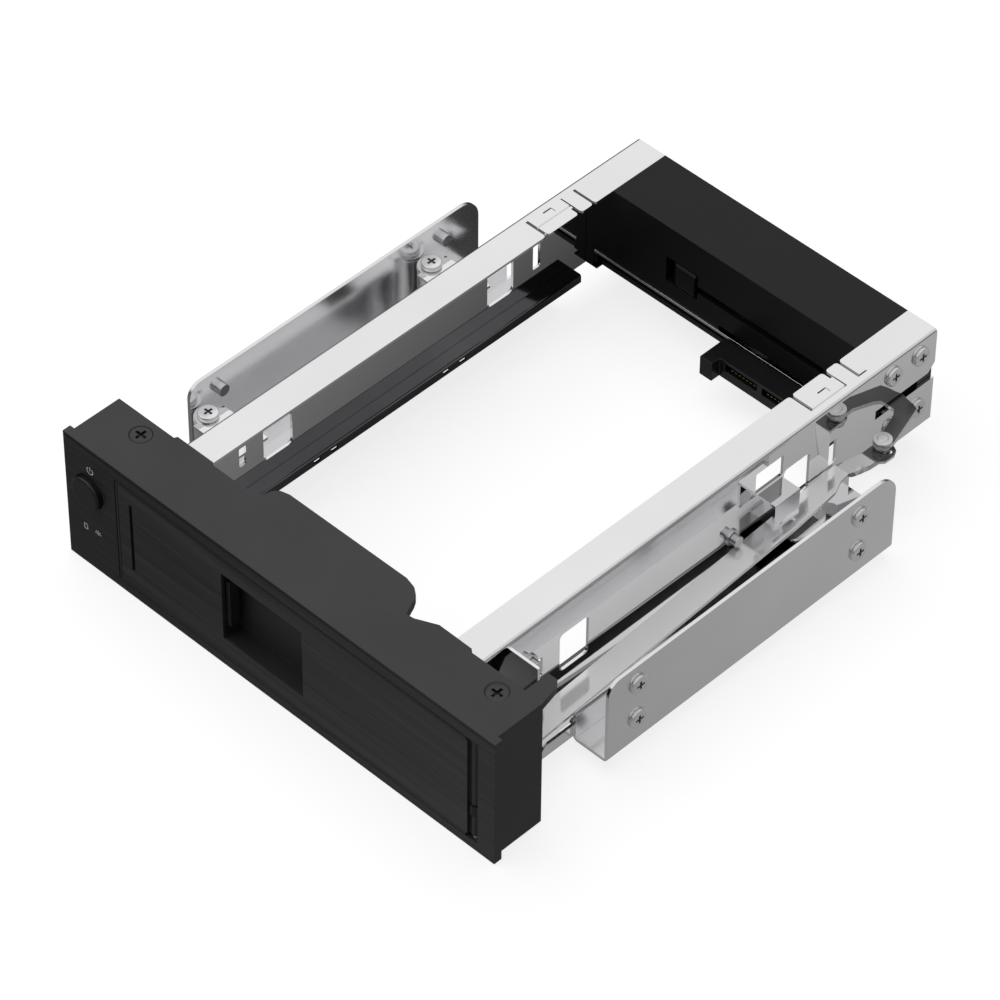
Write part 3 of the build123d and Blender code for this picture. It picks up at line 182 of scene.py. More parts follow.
def ring(tree, centre, radius, half):
    """1 on a circle about an upright axis, as wide as twice half, and 0 elsewhere."""
    place = tree.nodes.new("ShaderNodeTexCoord")
    flat = tree.nodes.new("ShaderNodeVectorMath")
    flat.operation = "MULTIPLY"
    flat.inputs[1].default_value = (1.0, 1.0, 0.0)
    away = tree.nodes.new("ShaderNodeVectorMath")
    away.operation = "DISTANCE"
    away.inputs[1].default_value = (*centre, 0.0)
    tree.links.new(place.outputs["Object"], flat.inputs[0])
    tree.links.new(flat.outputs["Vector"], away.inputs[0])
    return near(tree, away.outputs["Value"], radius, half)


def bezel_black(screw_centres):
    """Eroded black on top, scored along x in front, with painted shade on the right end and in dark lines.

    One painted shadow line runs at one height round the walls, and one in a circle round each screw."""
    material, tree, shader = new_material("bezel black")
    clouds = object_noise(tree, CLOUD_SCALE)
    eroded = ramp(tree, clouds, [(0.35, BEZEL_BLACK), (0.75, BEZEL_WORN)])
    scores = object_noise(tree, SCORE_SCALE, SCORE_STRETCH, detail=3.0)
    scored = ramp(tree, scores, [(0.30, SCORE_DARK), (0.75, SCORE_LIGHT)])
    walls = mixed(tree, facing(tree, "Y", -1.0), eroded, scored)
    # Painted shade: faces turned to the right are coloured darker.
    walls = mixed(tree, facing(tree, "X", 1.0), walls, BEZEL_SIDE_PAINTED_SHADE)
    # Painted shade: a dark ring round the sink of each screw.
    for centre in screw_centres:
        walls = mixed(tree, ring(tree, centre, SINK_RADIUS, SINK_SHADE_LINE_HALF), walls, BEZEL_PAINTED_SHADE_LINE)
    # Painted shadow: a dark line at one height just under the top edge.
    line_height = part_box("bezel")[1][2] - BEZEL_SHADE_LINE_DROP
    line = near(tree, along(tree, "Z"), line_height, BEZEL_SHADE_LINE_HALF)
    tree.links.new(mixed(tree, line, walls, BEZEL_PAINTED_SHADE_LINE), shader.inputs["Base Color"])
    tree.links.new(span_map(tree, clouds, *BEZEL_ROUGHNESS), shader.inputs["Roughness"])
    shader.inputs["Specular IOR Level"].default_value = BEZEL_SHEEN
    bump(tree, shader, object_noise(tree, GRAIN_SCALE, detail=2.0), BEZEL_GRAIN, GRAIN_HEIGHT)
    return material


def softened(node, edge, segments=2):
    """Copy of a CAD node with its corners rounded: points merged, flat faces joined, then a bevel."""
    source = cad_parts[node]
    mesh = source.data.copy()
    mesh.materials.clear()
    form = bmesh.new()
    form.from_mesh(mesh)
    bmesh.ops.remove_doubles(form, verts=form.verts, dist=MERGE_DISTANCE)
    bmesh.ops.dissolve_limit(form, angle_limit=math.radians(FLAT_ANGLE), verts=form.verts, edges=form.edges)
    form.to_mesh(mesh)
    form.free()
    mesh.shade_smooth()
    piece = bpy.data.objects.new(node + "_finish", mesh)
    bpy.context.scene.collection.objects.link(piece)
    rounding = piece.modifiers.new("edges", "BEVEL")
    rounding.width = edge
    rounding.segments = segments
    rounding.limit_method = "ANGLE"
    rounding.angle_limit = math.radians(EDGE_ANGLE)
    rounding.use_clamp_overlap = True
    flats = piece.modifiers.new("flats", "WEIGHTED_NORMAL")
    flats.keep_sharp = True
    return piece


def dress(piece, material, node, body):
    """Give a piece its finish, hang it on its body and hide the CAD node it stands for."""
    piece.data.materials.append(material)
    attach(piece, body)
    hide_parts(node)


screw_low, screw_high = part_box("bezel_screws")
screw_centres = [(screw_low[0] + SINK_SCREW_RADIUS, screw_high[1] - SINK_SCREW_RADIUS),
                 (screw_high[0] - SINK_SCREW_RADIUS, screw_low[1] + SINK_SCREW_RADIUS)]
dress(softened("bezel", BEZEL_EDGE), bezel_black(screw_centres), "bezel", "cage")

# Marks beside the button and the lights: white pad printing on the front of the bezel.
# They are a plain on and off sign, a drive outline and a lamp with rays.
MARK_WHITE = (0.72, 0.72, 0.73, 1.0)
MARK_THIN = (0.55, 0.55, 0.56, 1.0)
MARK_INK_SCALE = 4000.0
MARK_ROUGHNESS = 0.5
MARK_STROKE = 0.00030
MARK_LIFT = 0.00002
POWER_SIGN = (-0.0649, 0.0339)
POWER_SIGN_RADIUS = 0.00105
POWER_SIGN_GAP = 38.0
POWER_SIGN_BAR = 1.2
DRIVE_SIGN = (-0.0677, 0.0130)
DRIVE_SIGN_SIZE = (0.0011, 0.0017)
LAMP_SIGN = (-0.0632, 0.0133)
LAMP_SIGN_RADIUS = 0.00028
LAMP_CORE_SHARE = 0.3
LAMP_RAYS = (0.00062, 0.00112)
LAMP_RAY_ANGLES = (0.0, 45.0, 90.0, 135.0, 180.0)


def printed_strokes(name, paths, body):
    """Flat strokes on the face of the bezel.

    Each path is a row of points in x and z, and the two edges of its ribbon are the points
    moved half a stroke to either side along the normal of the path."""
    face_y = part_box("bezel")[0][1] - MARK_LIFT
    verts, faces = [], []
    for path in paths:
        points = np.array(path)
        ahead = np.gradient(points, axis=0)
        ahead /= np.linalg.norm(ahead, axis=1)[:, None]
        aside = np.stack([ahead[:, 1], -ahead[:, 0]], axis=1) * MARK_STROKE / 2
        edges = np.stack([points + aside, points - aside], axis=1).reshape(-1, 2)
        ribbon = np.column_stack([edges[:, 0], np.full(len(edges), face_y), edges[:, 1]])
        start = len(verts) + 2 * np.arange(len(points) - 1)
        verts.extend(ribbon.tolist())
        faces.extend(np.stack([start, start + 1, start + 3, start + 2], axis=1).tolist())
    mesh = bpy.data.meshes.new(name)
    mesh.from_pydata(verts, [], faces)
    piece = bpy.data.objects.new(name, mesh)
    bpy.context.scene.collection.objects.link(piece)
    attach(piece, body)
    return piece


def arc(centre, radius, start, end, count=33):
    """Points of an arc round a centre between two angles in degrees."""
    angle = np.radians(np.linspace(start, end, count))
    return np.stack([centre[0] + radius * np.cos(angle), centre[1] + radius * np.sin(angle)], axis=1)


sign_x, sign_z = POWER_SIGN
power_strokes = [
    arc(POWER_SIGN, POWER_SIGN_RADIUS, 90.0 + POWER_SIGN_GAP, 450.0 - POWER_SIGN_GAP),
    [(sign_x, sign_z), (sign_x, sign_z + POWER_SIGN_BAR * POWER_SIGN_RADIUS)],
]
wide, tall = DRIVE_SIGN_SIZE
left, right = DRIVE_SIGN[0] - wide / 2, DRIVE_SIGN[0] + wide / 2
low, high = DRIVE_SIGN[1] - tall / 2, DRIVE_SIGN[1] + tall / 2
drive_strokes = [[(left, low), (right, low)], [(right, low), (right, high)],
                 [(right, high), (left, high)], [(left, high), (left, low)]]
lamp_strokes = [arc(LAMP_SIGN, LAMP_SIGN_RADIUS * share, 0.0, 360.0, 17) for share in (LAMP_CORE_SHARE, 1.0)]
for direction in LAMP_RAY_ANGLES:
    lamp_strokes.append(np.concatenate([arc(LAMP_SIGN, reach, direction, direction, 1)
                                        for reach in LAMP_RAYS]))


def print_white():
    """White print with slightly uneven ink."""
    material, tree, shader = new_material("white print")
    ink = object_noise(tree, MARK_INK_SCALE)
    tree.links.new(ramp(tree, ink, [(0.3, MARK_THIN), (0.6, MARK_WHITE)]), shader.inputs["Base Color"])
    shader.inputs["Roughness"].default_value = MARK_ROUGHNESS
    return material


signs = printed_strokes("front_signs", power_strokes + drive_strokes + lamp_strokes, "cage")
signs.data.materials.append(print_white())

# Two countersunk screws in the roof of the bezel, black oxidised steel with a cross recess.
# They sit a little below the surface, so that the countersink shows as a ring.
SCREW_BLACK = (0.020, 0.020, 0.021, 1.0)
SCREW_WORN = (0.036, 0.036, 0.037, 1.0)
# Painted shade: the cross recess of the black screws is coloured darker than the head.
BLACK_RECESS_PAINTED_SHADE = (0.012, 0.012, 0.012, 1.0)
BEZEL_CROSS_REACH = 0.0019
CROSS_DEPTH = 0.0001
SCREW_EDGE = 0.00006
SCREW_CLOUD_SCALE = 420.0


def recessed(piece, axis, reach):
    """Attribute that is 1 on the faces of the cross recesses of a group of screws, where shade is painted.

    The screws' axes are found as the middles of the pieces' loose parts, and a face belongs to a
    recess where it is nearer to the axis than reach and lower than the head's top by the depth."""
    form = bmesh.new()
    form.from_mesh(piece.data)
    layer = form.faces.layers.float.new("recess")
    remaining = set(form.faces)
    across = [i for i in range(3) if i != axis]
    while remaining:
        island, queue = [], [next(iter(remaining))]
        remaining.discard(queue[0])
        while queue:
            face = queue.pop()
            island.append(face)
            for edge in face.edges:
                for other in edge.link_faces:
                    if other in remaining:
                        remaining.discard(other)
                        queue.append(other)
        corners = np.array([v.co for face in island for v in face.verts])
        low, high = corners.min(axis=0), corners.max(axis=0)
        middle = (low + high) / 2
        sign = 1.0 if axis == 2 or middle[axis] > 0 else -1.0
        top = high[axis] if sign > 0 else -low[axis]
        for face in island:
            centre = face.calc_center_median()
            far = math.hypot(centre[across[0]] - middle[across[0]], centre[across[1]] - middle[across[1]])
            below = top - sign * centre[axis]
            face[layer] = 1.0 if far < reach and CROSS_DEPTH < below < 3 * reach else 0.0
    form.to_mesh(piece.data)
    form.free()


def screw_finish(name, light, shade, recess, roughness, metal):
    """Plated or blackened screw steel, with painted shade in the cross recess."""
    material, tree, shader = new_material(name)
    clouds = object_noise(tree, SCREW_CLOUD_SCALE)
    head = ramp(tree, clouds, [(0.3, shade), (0.7, light)])
    # Painted shade: the faces of the recess take the recess colour.
    recess_shade = tree.nodes.new("ShaderNodeAttribute")
    recess_shade.attribute_name = "recess"
    tree.links.new(mixed(tree, recess_shade.outputs["Fac"], head, recess), shader.inputs["Base Color"])
    tree.links.new(span_map(tree, clouds, roughness * 0.8, roughness * 1.3), shader.inputs["Roughness"])
    shader.inputs["Metallic"].default_value = metal
    return material


def screw_group(node, axis, reach, material):
    """Finish one node of like screws, whose axes lie along one axis."""
    piece = softened(node, SCREW_EDGE, segments=1)
    recessed(piece, axis, reach)
    dress(piece, material, node, "cage")


screw_black = screw_finish("screw black", SCREW_WORN, SCREW_BLACK, BLACK_RECESS_PAINTED_SHADE, roughness=0.42, metal=0.0)
screw_group("bezel_screws", 2, BEZEL_CROSS_REACH, screw_black)

# Door: a moulded leaf with the hinge barrel and the finger pocket, a thin black aluminium skin let
# into its face and brushed along the door, and the moulded catch that slides in the leaf.
DOOR_BLACK = (0.018, 0.018, 0.0195, 1.0)
DOOR_WORN = (0.026, 0.026, 0.0275, 1.0)
SKIN_DARK = (0.016, 0.016, 0.017, 1.0)
SKIN_LIGHT = (0.050, 0.050, 0.052, 1.0)
BRUSH_SCALE = 900.0
BRUSH_STRETCH = (0.02, 1.0, 1.0)
BRUSH_BUMP = 0.25
BRUSH_HEIGHT = 0.00005
SKIN_ROUGHNESS = (0.36, 0.55)
SKIN_METAL = 0.1
DOOR_EDGE = 0.0002
SKIN_EDGE = 0.0001


def brushed_black():
    """Black anodised sheet with fine lines drawn along x."""
    material, tree, shader = new_material("brushed black")
    lines = object_noise(tree, BRUSH_SCALE, BRUSH_STRETCH, detail=3.0)
    tree.links.new(ramp(tree, lines, [(0.3, SKIN_DARK), (0.75, SKIN_LIGHT)]), shader.inputs["Base Color"])
    tree.links.new(span_map(tree, lines, *SKIN_ROUGHNESS), shader.inputs["Roughness"])
    shader.inputs["Metallic"].default_value = SKIN_METAL
    bump(tree, shader, lines, BRUSH_BUMP, BRUSH_HEIGHT)
    return material


door_black = moulded_plastic("door moulding", DOOR_BLACK, DOOR_WORN, roughness=0.42, grain=0.05, sheen=0.4)
dress(softened("door_panel", DOOR_EDGE), door_black, "door_panel", "door")
dress(softened("door_skin", SKIN_EDGE), brushed_black(), "door_skin", "door")
dress(softened("door_catch", DOOR_EDGE), door_black, "door_catch", "catch")

# Hinge parts: the cam is a black acetal moulding pressed on the barrel, and the pin is a
# steel rod pushed in from above, plated like the screws.
CAM_BLACK = (0.006, 0.006, 0.006, 1.0)
CAM_WORN = (0.010, 0.010, 0.010, 1.0)
CAM_EDGE = 0.00012
SCREW_LIGHT = (0.92, 0.92, 0.925, 1.0)
SCREW_SHADE = (0.82, 0.82, 0.83, 1.0)
# Painted shade: the cross recess of the plated screws is coloured dark grey.
BRIGHT_RECESS_PAINTED_SHADE = (0.10, 0.10, 0.10, 1.0)
cam_black = moulded_plastic("cam acetal", CAM_BLACK, CAM_WORN, roughness=0.45, grain=0.02, sheen=0.3)
dress(softened("door_cam", CAM_EDGE), cam_black, "door_cam", "door")
screw_plating = screw_finish("screw plating", SCREW_LIGHT, SCREW_SHADE, BRIGHT_RECESS_PAINTED_SHADE, roughness=0.14,
                             metal=0.6)


def plain_finish(node, material):
    """Put a finish on the node's own mesh."""
    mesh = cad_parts[node].data
    mesh.materials.clear()
    mesh.materials.append(material)


plain_finish("hinge_pin", screw_plating)

# Power button: a semi-gloss moulding with a rounded rim, on a stem that reaches the switch.
# Behind it a small green board carries the switch, and two clear blocks lead light to the face.
BUTTON_BLACK = (0.008, 0.008, 0.009, 1.0)
BUTTON_WORN = (0.012, 0.012, 0.013, 1.0)
BUTTON_EDGE = 0.0002
SWITCH_WORN = (0.014, 0.014, 0.015, 1.0)
BOARD_GREEN = (0.010, 0.055, 0.028, 1.0)
BOARD_PALE = (0.013, 0.066, 0.033, 1.0)
BOARD_TRACK = (0.020, 0.110, 0.052, 1.0)
BOARD_CELL_SCALE = 160.0
BOARD_TRACK_SHARE = 0.12
BOARD_ROUGHNESS = (0.24, 0.38)
BOARD_BUMP = 0.2
BOARD_HEIGHT = 0.00003
BOARD_CROSS_REACH = 0.0009
CLEAR_LIGHT = (0.78, 0.79, 0.81, 1.0)
CLEAR_SHADE = (0.70, 0.71, 0.73, 1.0)
CLEAR_ROUGHNESS = 0.12
CLEAR_SHARE = 0.5
FLOW_SCALE = 300.0
button_black = moulded_plastic("button moulding", BUTTON_BLACK, BUTTON_WORN, roughness=0.26, grain=0.02)
dress(softened("power_button", BUTTON_EDGE, segments=3), button_black, "power_button",
      "button")


def board_green(name, mask, track):
    """Solder mask over copper tracks: square cells of the mask and of pale green, under lacquer."""
    material, tree, shader = new_material(name)
    place = tree.nodes.new("ShaderNodeTexCoord")
    cells = tree.nodes.new("ShaderNodeTexBrick")
    cells.inputs["Scale"].default_value = BOARD_CELL_SCALE
    cells.inputs["Mortar Size"].default_value = BOARD_TRACK_SHARE
    cells.inputs["Color1"].default_value = mask
    cells.inputs["Color2"].default_value = BOARD_PALE
    cells.inputs["Mortar"].default_value = track
    tree.links.new(place.outputs["Object"], cells.inputs["Vector"])
    tree.links.new(cells.outputs["Color"], shader.inputs["Base Color"])
    tree.links.new(span_map(tree, cells.outputs["Fac"], *BOARD_ROUGHNESS), shader.inputs["Roughness"])
    bump(tree, shader, cells.outputs["Fac"], BOARD_BUMP, BOARD_HEIGHT)
    return material


plain_finish("front_board", board_green("front board green", BOARD_GREEN, BOARD_TRACK))
switch_black = moulded_plastic("switch moulding", BUTTON_BLACK, SWITCH_WORN, roughness=0.3, grain=0.02)
plain_finish("power_switch", switch_black)


def clear_moulding():
    """Clear polycarbonate with slight flow marks."""
    material, tree, shader = new_material("clear moulding")
    flow = object_noise(tree, FLOW_SCALE)
    tree.links.new(ramp(tree, flow, [(0.3, CLEAR_SHADE), (0.7, CLEAR_LIGHT)]), shader.inputs["Base Color"])
    shader.inputs["Roughness"].default_value = CLEAR_ROUGHNESS
    shader.inputs["Transmission Weight"].default_value = CLEAR_SHARE
    return material


plain_finish("light_guides", clear_moulding())
screw_group("board_screws", 1, BOARD_CROSS_REACH, screw_plating)

# Rails and runners: sheet steel, punched and bent. The rails are plated to a near mirror finish.
# The runners are coloured dark grey as painted shade, are welded inside the rails, and the drive slides on
# them.
PLATE_LIGHT = (0.88, 0.88, 0.885, 1.0)
PLATE_SHADE = (0.84, 0.84, 0.85, 1.0)
# Painted shade: the runners are coloured dark grey for the shade that falls on them.
RUNNER_PAINTED_SHADE_LIGHT = (0.13, 0.13, 0.135, 1.0)
RUNNER_PAINTED_SHADE_DARK = (0.09, 0.09, 0.095, 1.0)
RAIL_EDGE = 0.0001
PLATE_CLOUD_SCALE = 30.0


def plated(name, light, shade, roughness, cloud_scale=PLATE_CLOUD_SCALE):
    """Plated sheet with faint clouds in its colour and gloss."""
    material, tree, shader = new_material(name)
    clouds = object_noise(tree, cloud_scale)
    tree.links.new(ramp(tree, clouds, [(0.3, shade), (0.7, light)]), shader.inputs["Base Color"])
    tree.links.new(span_map(tree, clouds, roughness * 0.7, roughness * 1.4), shader.inputs["Roughness"])
    shader.inputs["Metallic"].default_value = 1.0
    return material


rail_plating = plated("bright plating", PLATE_LIGHT, PLATE_SHADE, roughness=0.03)
# Painted shade: the dark colour of the runners.
runner_painted_shade = plated("runner painted shade", RUNNER_PAINTED_SHADE_LIGHT, RUNNER_PAINTED_SHADE_DARK, roughness=0.06)
for side in ("left", "right"):
    for part, plating in (("_rail", rail_plating), ("_runner", runner_painted_shade)):
        dress(softened(side + part, RAIL_EDGE, segments=1), plating, side + part, "cage")

# Studs pressed into the right rail: two threaded ones in its web and a small hollow one in the
# lip of its shelf. All are turned steel, plated like the screws.
THREAD_PITCH = 0.0005
# Painted shade: the roots of the thread are coloured darker than its crests.
THREAD_PAINTED_SHADE = (0.30, 0.30, 0.31, 1.0)
THREAD_LIGHT = (0.85, 0.85, 0.86, 1.0)
THREAD_ROUGHNESS = 0.18
THREAD_BUMP = 0.6
THREAD_HEIGHT = 0.0001
WAVE_AT_SCALE_ONE = 0.314


def threaded_plating():
    """Plated steel with a thread: waves along x, one for each turn, darker in the roots as painted shade.

    The scale of the texture is its own wave at scale one, divided by the pitch of the thread."""
    material, tree, shader = new_material("threaded plating")
    place = tree.nodes.new("ShaderNodeTexCoord")
    turns = tree.nodes.new("ShaderNodeTexWave")
    turns.bands_direction = "X"
    turns.inputs["Scale"].default_value = WAVE_AT_SCALE_ONE / THREAD_PITCH
    tree.links.new(place.outputs["Object"], turns.inputs["Vector"])
    # Painted shade: the low half of each wave is coloured dark.
    flank_shade = ramp(tree, turns.outputs["Fac"], [(0.2, THREAD_PAINTED_SHADE), (0.8, THREAD_LIGHT)])
    tree.links.new(flank_shade, shader.inputs["Base Color"])
    shader.inputs["Metallic"].default_value = 1.0
    shader.inputs["Roughness"].default_value = THREAD_ROUGHNESS
    bump(tree, shader, turns.outputs["Fac"], THREAD_BUMP, THREAD_HEIGHT)
    return material


plain_finish("web_studs", threaded_plating())
plain_finish("shelf_stud", screw_plating)

# Brackets: channels of satin plated sheet that screw to the walls of the bay.
# The left one stands its two turned posts under the lugs of the left rail.
SATIN_LIGHT = (0.84, 0.84, 0.845, 1.0)
SATIN_SHADE = (0.78, 0.78, 0.79, 1.0)
BRACKET_EDGE = 0.00012
satin_plating = plated("satin plating", SATIN_LIGHT, SATIN_SHADE, roughness=0.16)
for side in ("left", "right"):
    dress(softened(side + "_bracket", BRACKET_EDGE), satin_plating, side + "_bracket", "cage")
plain_finish("left_posts", screw_plating)

# Pan head screws: eight in the brackets, eight in the rear cover and two on the posts, all
# headed steel with a rolled thread and a cross recess, bright plated.
PAN_CROSS_REACH = 0.00145
for node, axis in (("bay_screws", 0), ("rear_screws", 0), ("post_screws", 2)):
    screw_group(node, axis, PAN_CROSS_REACH, screw_plating)

# Eject linkage: the plated bar beside the right rail, the flat lever that crosses the rear,
# the rivet between them and the ejector block in the cover's window.
# Painted reflection: the lever's upper face and the bar's pad are coloured dark for the dark things they
# mirror.
LEVER_PAINTED_REFLECTION = (0.0999, 0.0999, 0.1026, 1.0)
LEVER_PAINTED_REFLECTION_DEEP = (0.0837, 0.0837, 0.0864, 1.0)
LEVER_BRIGHT = (0.85, 0.85, 0.86, 1.0)
LEVER_GRAIN_SCALE = 160.0
LEVER_GRAIN_STRETCH = (0.12, 1.0, 1.0)
LEVER_ROUGHNESS = (0.18, 0.28)
LEVER_METAL = 0.4
BAR_ROUGHNESS = (0.05, 0.10)
BAR_METAL = 0.5
PAD_BLEND = (0.0003, 0.00005)
RIVET_LIGHT = (0.70, 0.70, 0.71, 1.0)
RIVET_SHADE = (0.60, 0.60, 0.61, 1.0)
RIVET_CLOUD_SCALE = 300.0
LINK_EDGE = 0.0001
RIVET_EDGE = 0.00025


def bar_plating():
    """Bright plating, with a painted reflection on the raised pad under the lever: the pad is coloured dark.
    """
    material, tree, shader = new_material("bar plating")
    clouds = object_noise(tree, PLATE_CLOUD_SCALE)
    bright = ramp(tree, clouds, [(0.3, PLATE_SHADE), (0.7, PLATE_LIGHT)])
    pad_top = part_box("link_bar")[1][2]
    start, end = (pad_top - drop for drop in PAD_BLEND)
    raised = span_map(tree, along(tree, "Z"), 0.0, 1.0, start, end)
    # Painted reflection: the pad takes the lever's dark colour.
    tree.links.new(mixed(tree, raised, bright, LEVER_PAINTED_REFLECTION), shader.inputs["Base Color"])
    tree.links.new(span_map(tree, clouds, *BAR_ROUGHNESS), shader.inputs["Roughness"])
    shader.inputs["Metallic"].default_value = BAR_METAL
    return material


def lever_finish():
    """Upper face coloured dark with a long grain as painted reflection, bright where the sheet was cut and
    underneath.
    """
    material, tree, shader = new_material("lever steel")
    grain = object_noise(tree, LEVER_GRAIN_SCALE, LEVER_GRAIN_STRETCH)
    upper = ramp(tree, grain, [(0.3, LEVER_PAINTED_REFLECTION_DEEP), (0.7, LEVER_PAINTED_REFLECTION)])
    # Painted reflection: faces turned up take the dark colour.
    both = mixed(tree, facing(tree, "Z", 1.0), LEVER_BRIGHT, upper)
    tree.links.new(both, shader.inputs["Base Color"])
    tree.links.new(span_map(tree, grain, *LEVER_ROUGHNESS), shader.inputs["Roughness"])
    shader.inputs["Metallic"].default_value = LEVER_METAL
    return material


dress(softened("link_bar", LINK_EDGE), bar_plating(), "link_bar", "link")
dress(softened("eject_lever", LINK_EDGE), lever_finish(), "eject_lever", "lever")
rivet_satin = plated("rivet satin", RIVET_LIGHT, RIVET_SHADE, roughness=0.22, cloud_scale=RIVET_CLOUD_SCALE)
dress(softened("link_rivet", RIVET_EDGE), rivet_satin, "link_rivet", "lever")

# Rear cover: a smooth black moulding that carries the steel cross plate, the pivot pin, the
# ejector block and the dark green card in grooves of its side walls.
COVER_BLACK = (0.0058, 0.0055, 0.0060, 1.0)
COVER_WORN = (0.0075, 0.0072, 0.0078, 1.0)
COVER_EDGE = 0.0002
CROSS_PLATE_EDGE = 0.0001
REAR_MASK = (0.003, 0.006, 0.005, 1.0)
REAR_TRACK = (0.006, 0.011, 0.009, 1.0)
cover_black = moulded_plastic("cover moulding", COVER_BLACK, COVER_WORN, roughness=0.34, grain=0.02,
                              sheen=0.22)
dress(softened("rear_cover", COVER_EDGE), cover_black, "rear_cover", "cage")
dress(softened("ejector", COVER_EDGE), cover_black, "ejector", "ejector")
dress(softened("cross_plate", CROSS_PLATE_EDGE), satin_plating, "cross_plate", "cage")
plain_finish("pivot_pin", screw_plating)
plain_finish("rear_card", board_green("rear card green", REAR_MASK, REAR_TRACK))

# Connector for the drive and the two sockets behind it: glossy black mouldings on the card.
# Flat gilt contacts lie side by side in the two slots of the connector.
SOCKET_BLACK = (0.009, 0.009, 0.010, 1.0)
SOCKET_WORN = (0.015, 0.015, 0.016, 1.0)
SOCKET_EDGE = 0.00015
CONTACT_PITCH = 0.00127
CONTACT_WIDTH = 0.0007
CONTACT_THICK = 0.00015
CONTACT_LENGTH = 0.0040
CONTACT_RISE = 0.0036
CONTACT_SETBACK = 0.0037
DATA_CONTACTS = (0.00729, 7)
POWER_CONTACTS = (0.01958, 13)
GILT_LIGHT = (0.90, 0.68, 0.30, 1.0)
GILT_SHADE = (0.80, 0.58, 0.24, 1.0)
GILT_CLOUD_SCALE = 900.0
socket_black = moulded_plastic("connector moulding", SOCKET_BLACK, SOCKET_WORN, roughness=0.24, grain=0.02)
for node in ("sata_connector", "rear_sockets"):
    dress(softened(node, SOCKET_EDGE), socket_black, node, "cage")


def contact_strips(name, rows):
    """Rows of flat bars: the eight corners of one bar, moved by the pitch for each contact.

    Each row gives the x of its first contact and the count of its contacts."""
    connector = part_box("sata_connector")
    front = connector[0][1] + CONTACT_SETBACK
    bottom = connector[0][2] + CONTACT_RISE
    starts = np.concatenate([first + CONTACT_PITCH * np.arange(count) for first, count in rows])
    unit = np.array([(x, y, z) for z in (0, 1) for y in (0, 1) for x in (0, 1)], dtype=float)
    bar = unit * (CONTACT_WIDTH, CONTACT_LENGTH, CONTACT_THICK)
    shift = np.column_stack([starts, np.full(len(starts), front), np.full(len(starts), bottom)])
    verts = (bar[None] + shift[:, None]).reshape(-1, 3)
    quads = np.array([(0, 2, 3, 1), (4, 5, 7, 6), (0, 1, 5, 4), (2, 6, 7, 3), (0, 4, 6, 2), (1, 3, 7, 5)])
    faces = (quads[None] + 8 * np.arange(len(starts))[:, None, None]).reshape(-1, 4)
    mesh = bpy.data.meshes.new(name)
    mesh.from_pydata(verts.tolist(), [], faces.tolist())
    piece = bpy.data.objects.new(name, mesh)
    bpy.context.scene.collection.objects.link(piece)
    return piece


gilt = plated("gilt contacts", GILT_LIGHT, GILT_SHADE, roughness=0.18, cloud_scale=GILT_CLOUD_SCALE)
contacts = contact_strips("drive_contacts", (DATA_CONTACTS, POWER_CONTACTS))
contacts.data.materials.append(gilt)
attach(contacts, "cage")

# Floor: a plain white table under the cage. It looks white to the eye and carries the soft
# shadow. Metal sees a painted reflection in its place: a dark glow that grows paler to the right, most at
# the rear.
FLOOR_SIZE = 6.0
FLOOR_DROP = 0.0002
FLOOR_MATT = 0.30
FLOOR_TO_EYE = 0.80
FLOOR_SPAN_X = (-0.050, 0.075)
FLOOR_SPAN_Y = (-0.060, 0.090)
# Painted reflection: strengths of the glow that only metal sees, at the front and at the rear.
FLOOR_PAINTED_REFLECTION_FRONT = (0.15, 0.33)
FLOOR_PAINTED_REFLECTION_REAR = (0.03, 0.42)


def table_white():
    """Matt grey with its shadow and a glow for the eye, and a painted reflection for metal: a glow graded in
    x and y.
    """
    material = bpy.data.materials.new("table white")
    material.use_nodes = True
    tree = material.node_tree
    tree.nodes.clear()
    output = tree.nodes.new("ShaderNodeOutputMaterial")
    matt = tree.nodes.new("ShaderNodeBsdfDiffuse")
    matt.inputs["Color"].default_value = (FLOOR_MATT, FLOOR_MATT, FLOOR_MATT, 1.0)
    glow = tree.nodes.new("ShaderNodeEmission")
    paths = tree.nodes.new("ShaderNodeLightPath")
    seen = tree.nodes.new("ShaderNodeMath")
    seen.operation = "MAXIMUM"
    tree.links.new(paths.outputs["Is Camera Ray"], seen.inputs[0])
    tree.links.new(paths.outputs["Is Transmission Ray"], seen.inputs[1])
    tree.links.new(span_map(tree, seen.outputs["Value"], 0.0, FLOOR_TO_EYE), glow.inputs["Strength"])
    both = tree.nodes.new("ShaderNodeAddShader")
    tree.links.new(matt.outputs["BSDF"], both.inputs[0])
    tree.links.new(glow.outputs["Emission"], both.inputs[1])
    across = tree.nodes.new("ShaderNodeMapRange")
    across.inputs["From Min"].default_value, across.inputs["From Max"].default_value = FLOOR_SPAN_X
    tree.links.new(along(tree, "X"), across.inputs["Value"])
    for end, front, rear in zip(("To Min", "To Max"), FLOOR_PAINTED_REFLECTION_FRONT, FLOOR_PAINTED_REFLECTION_REAR):
        tree.links.new(span_map(tree, along(tree, "Y"), front, rear, *FLOOR_SPAN_Y), across.inputs[end])
    # Painted reflection: a glow that only glossy rays see, from dark to pale across the table.
    painted_reflection = tree.nodes.new("ShaderNodeEmission")
    tree.links.new(across.outputs["Result"], painted_reflection.inputs["Strength"])
    mix = tree.nodes.new("ShaderNodeMixShader")
    tree.links.new(paths.outputs["Is Glossy Ray"], mix.inputs["Fac"])
    tree.links.new(both.outputs["Shader"], mix.inputs[1])
    tree.links.new(painted_reflection.outputs["Emission"], mix.inputs[2])
    tree.links.new(mix.outputs["Shader"], output.inputs["Surface"])
    return material


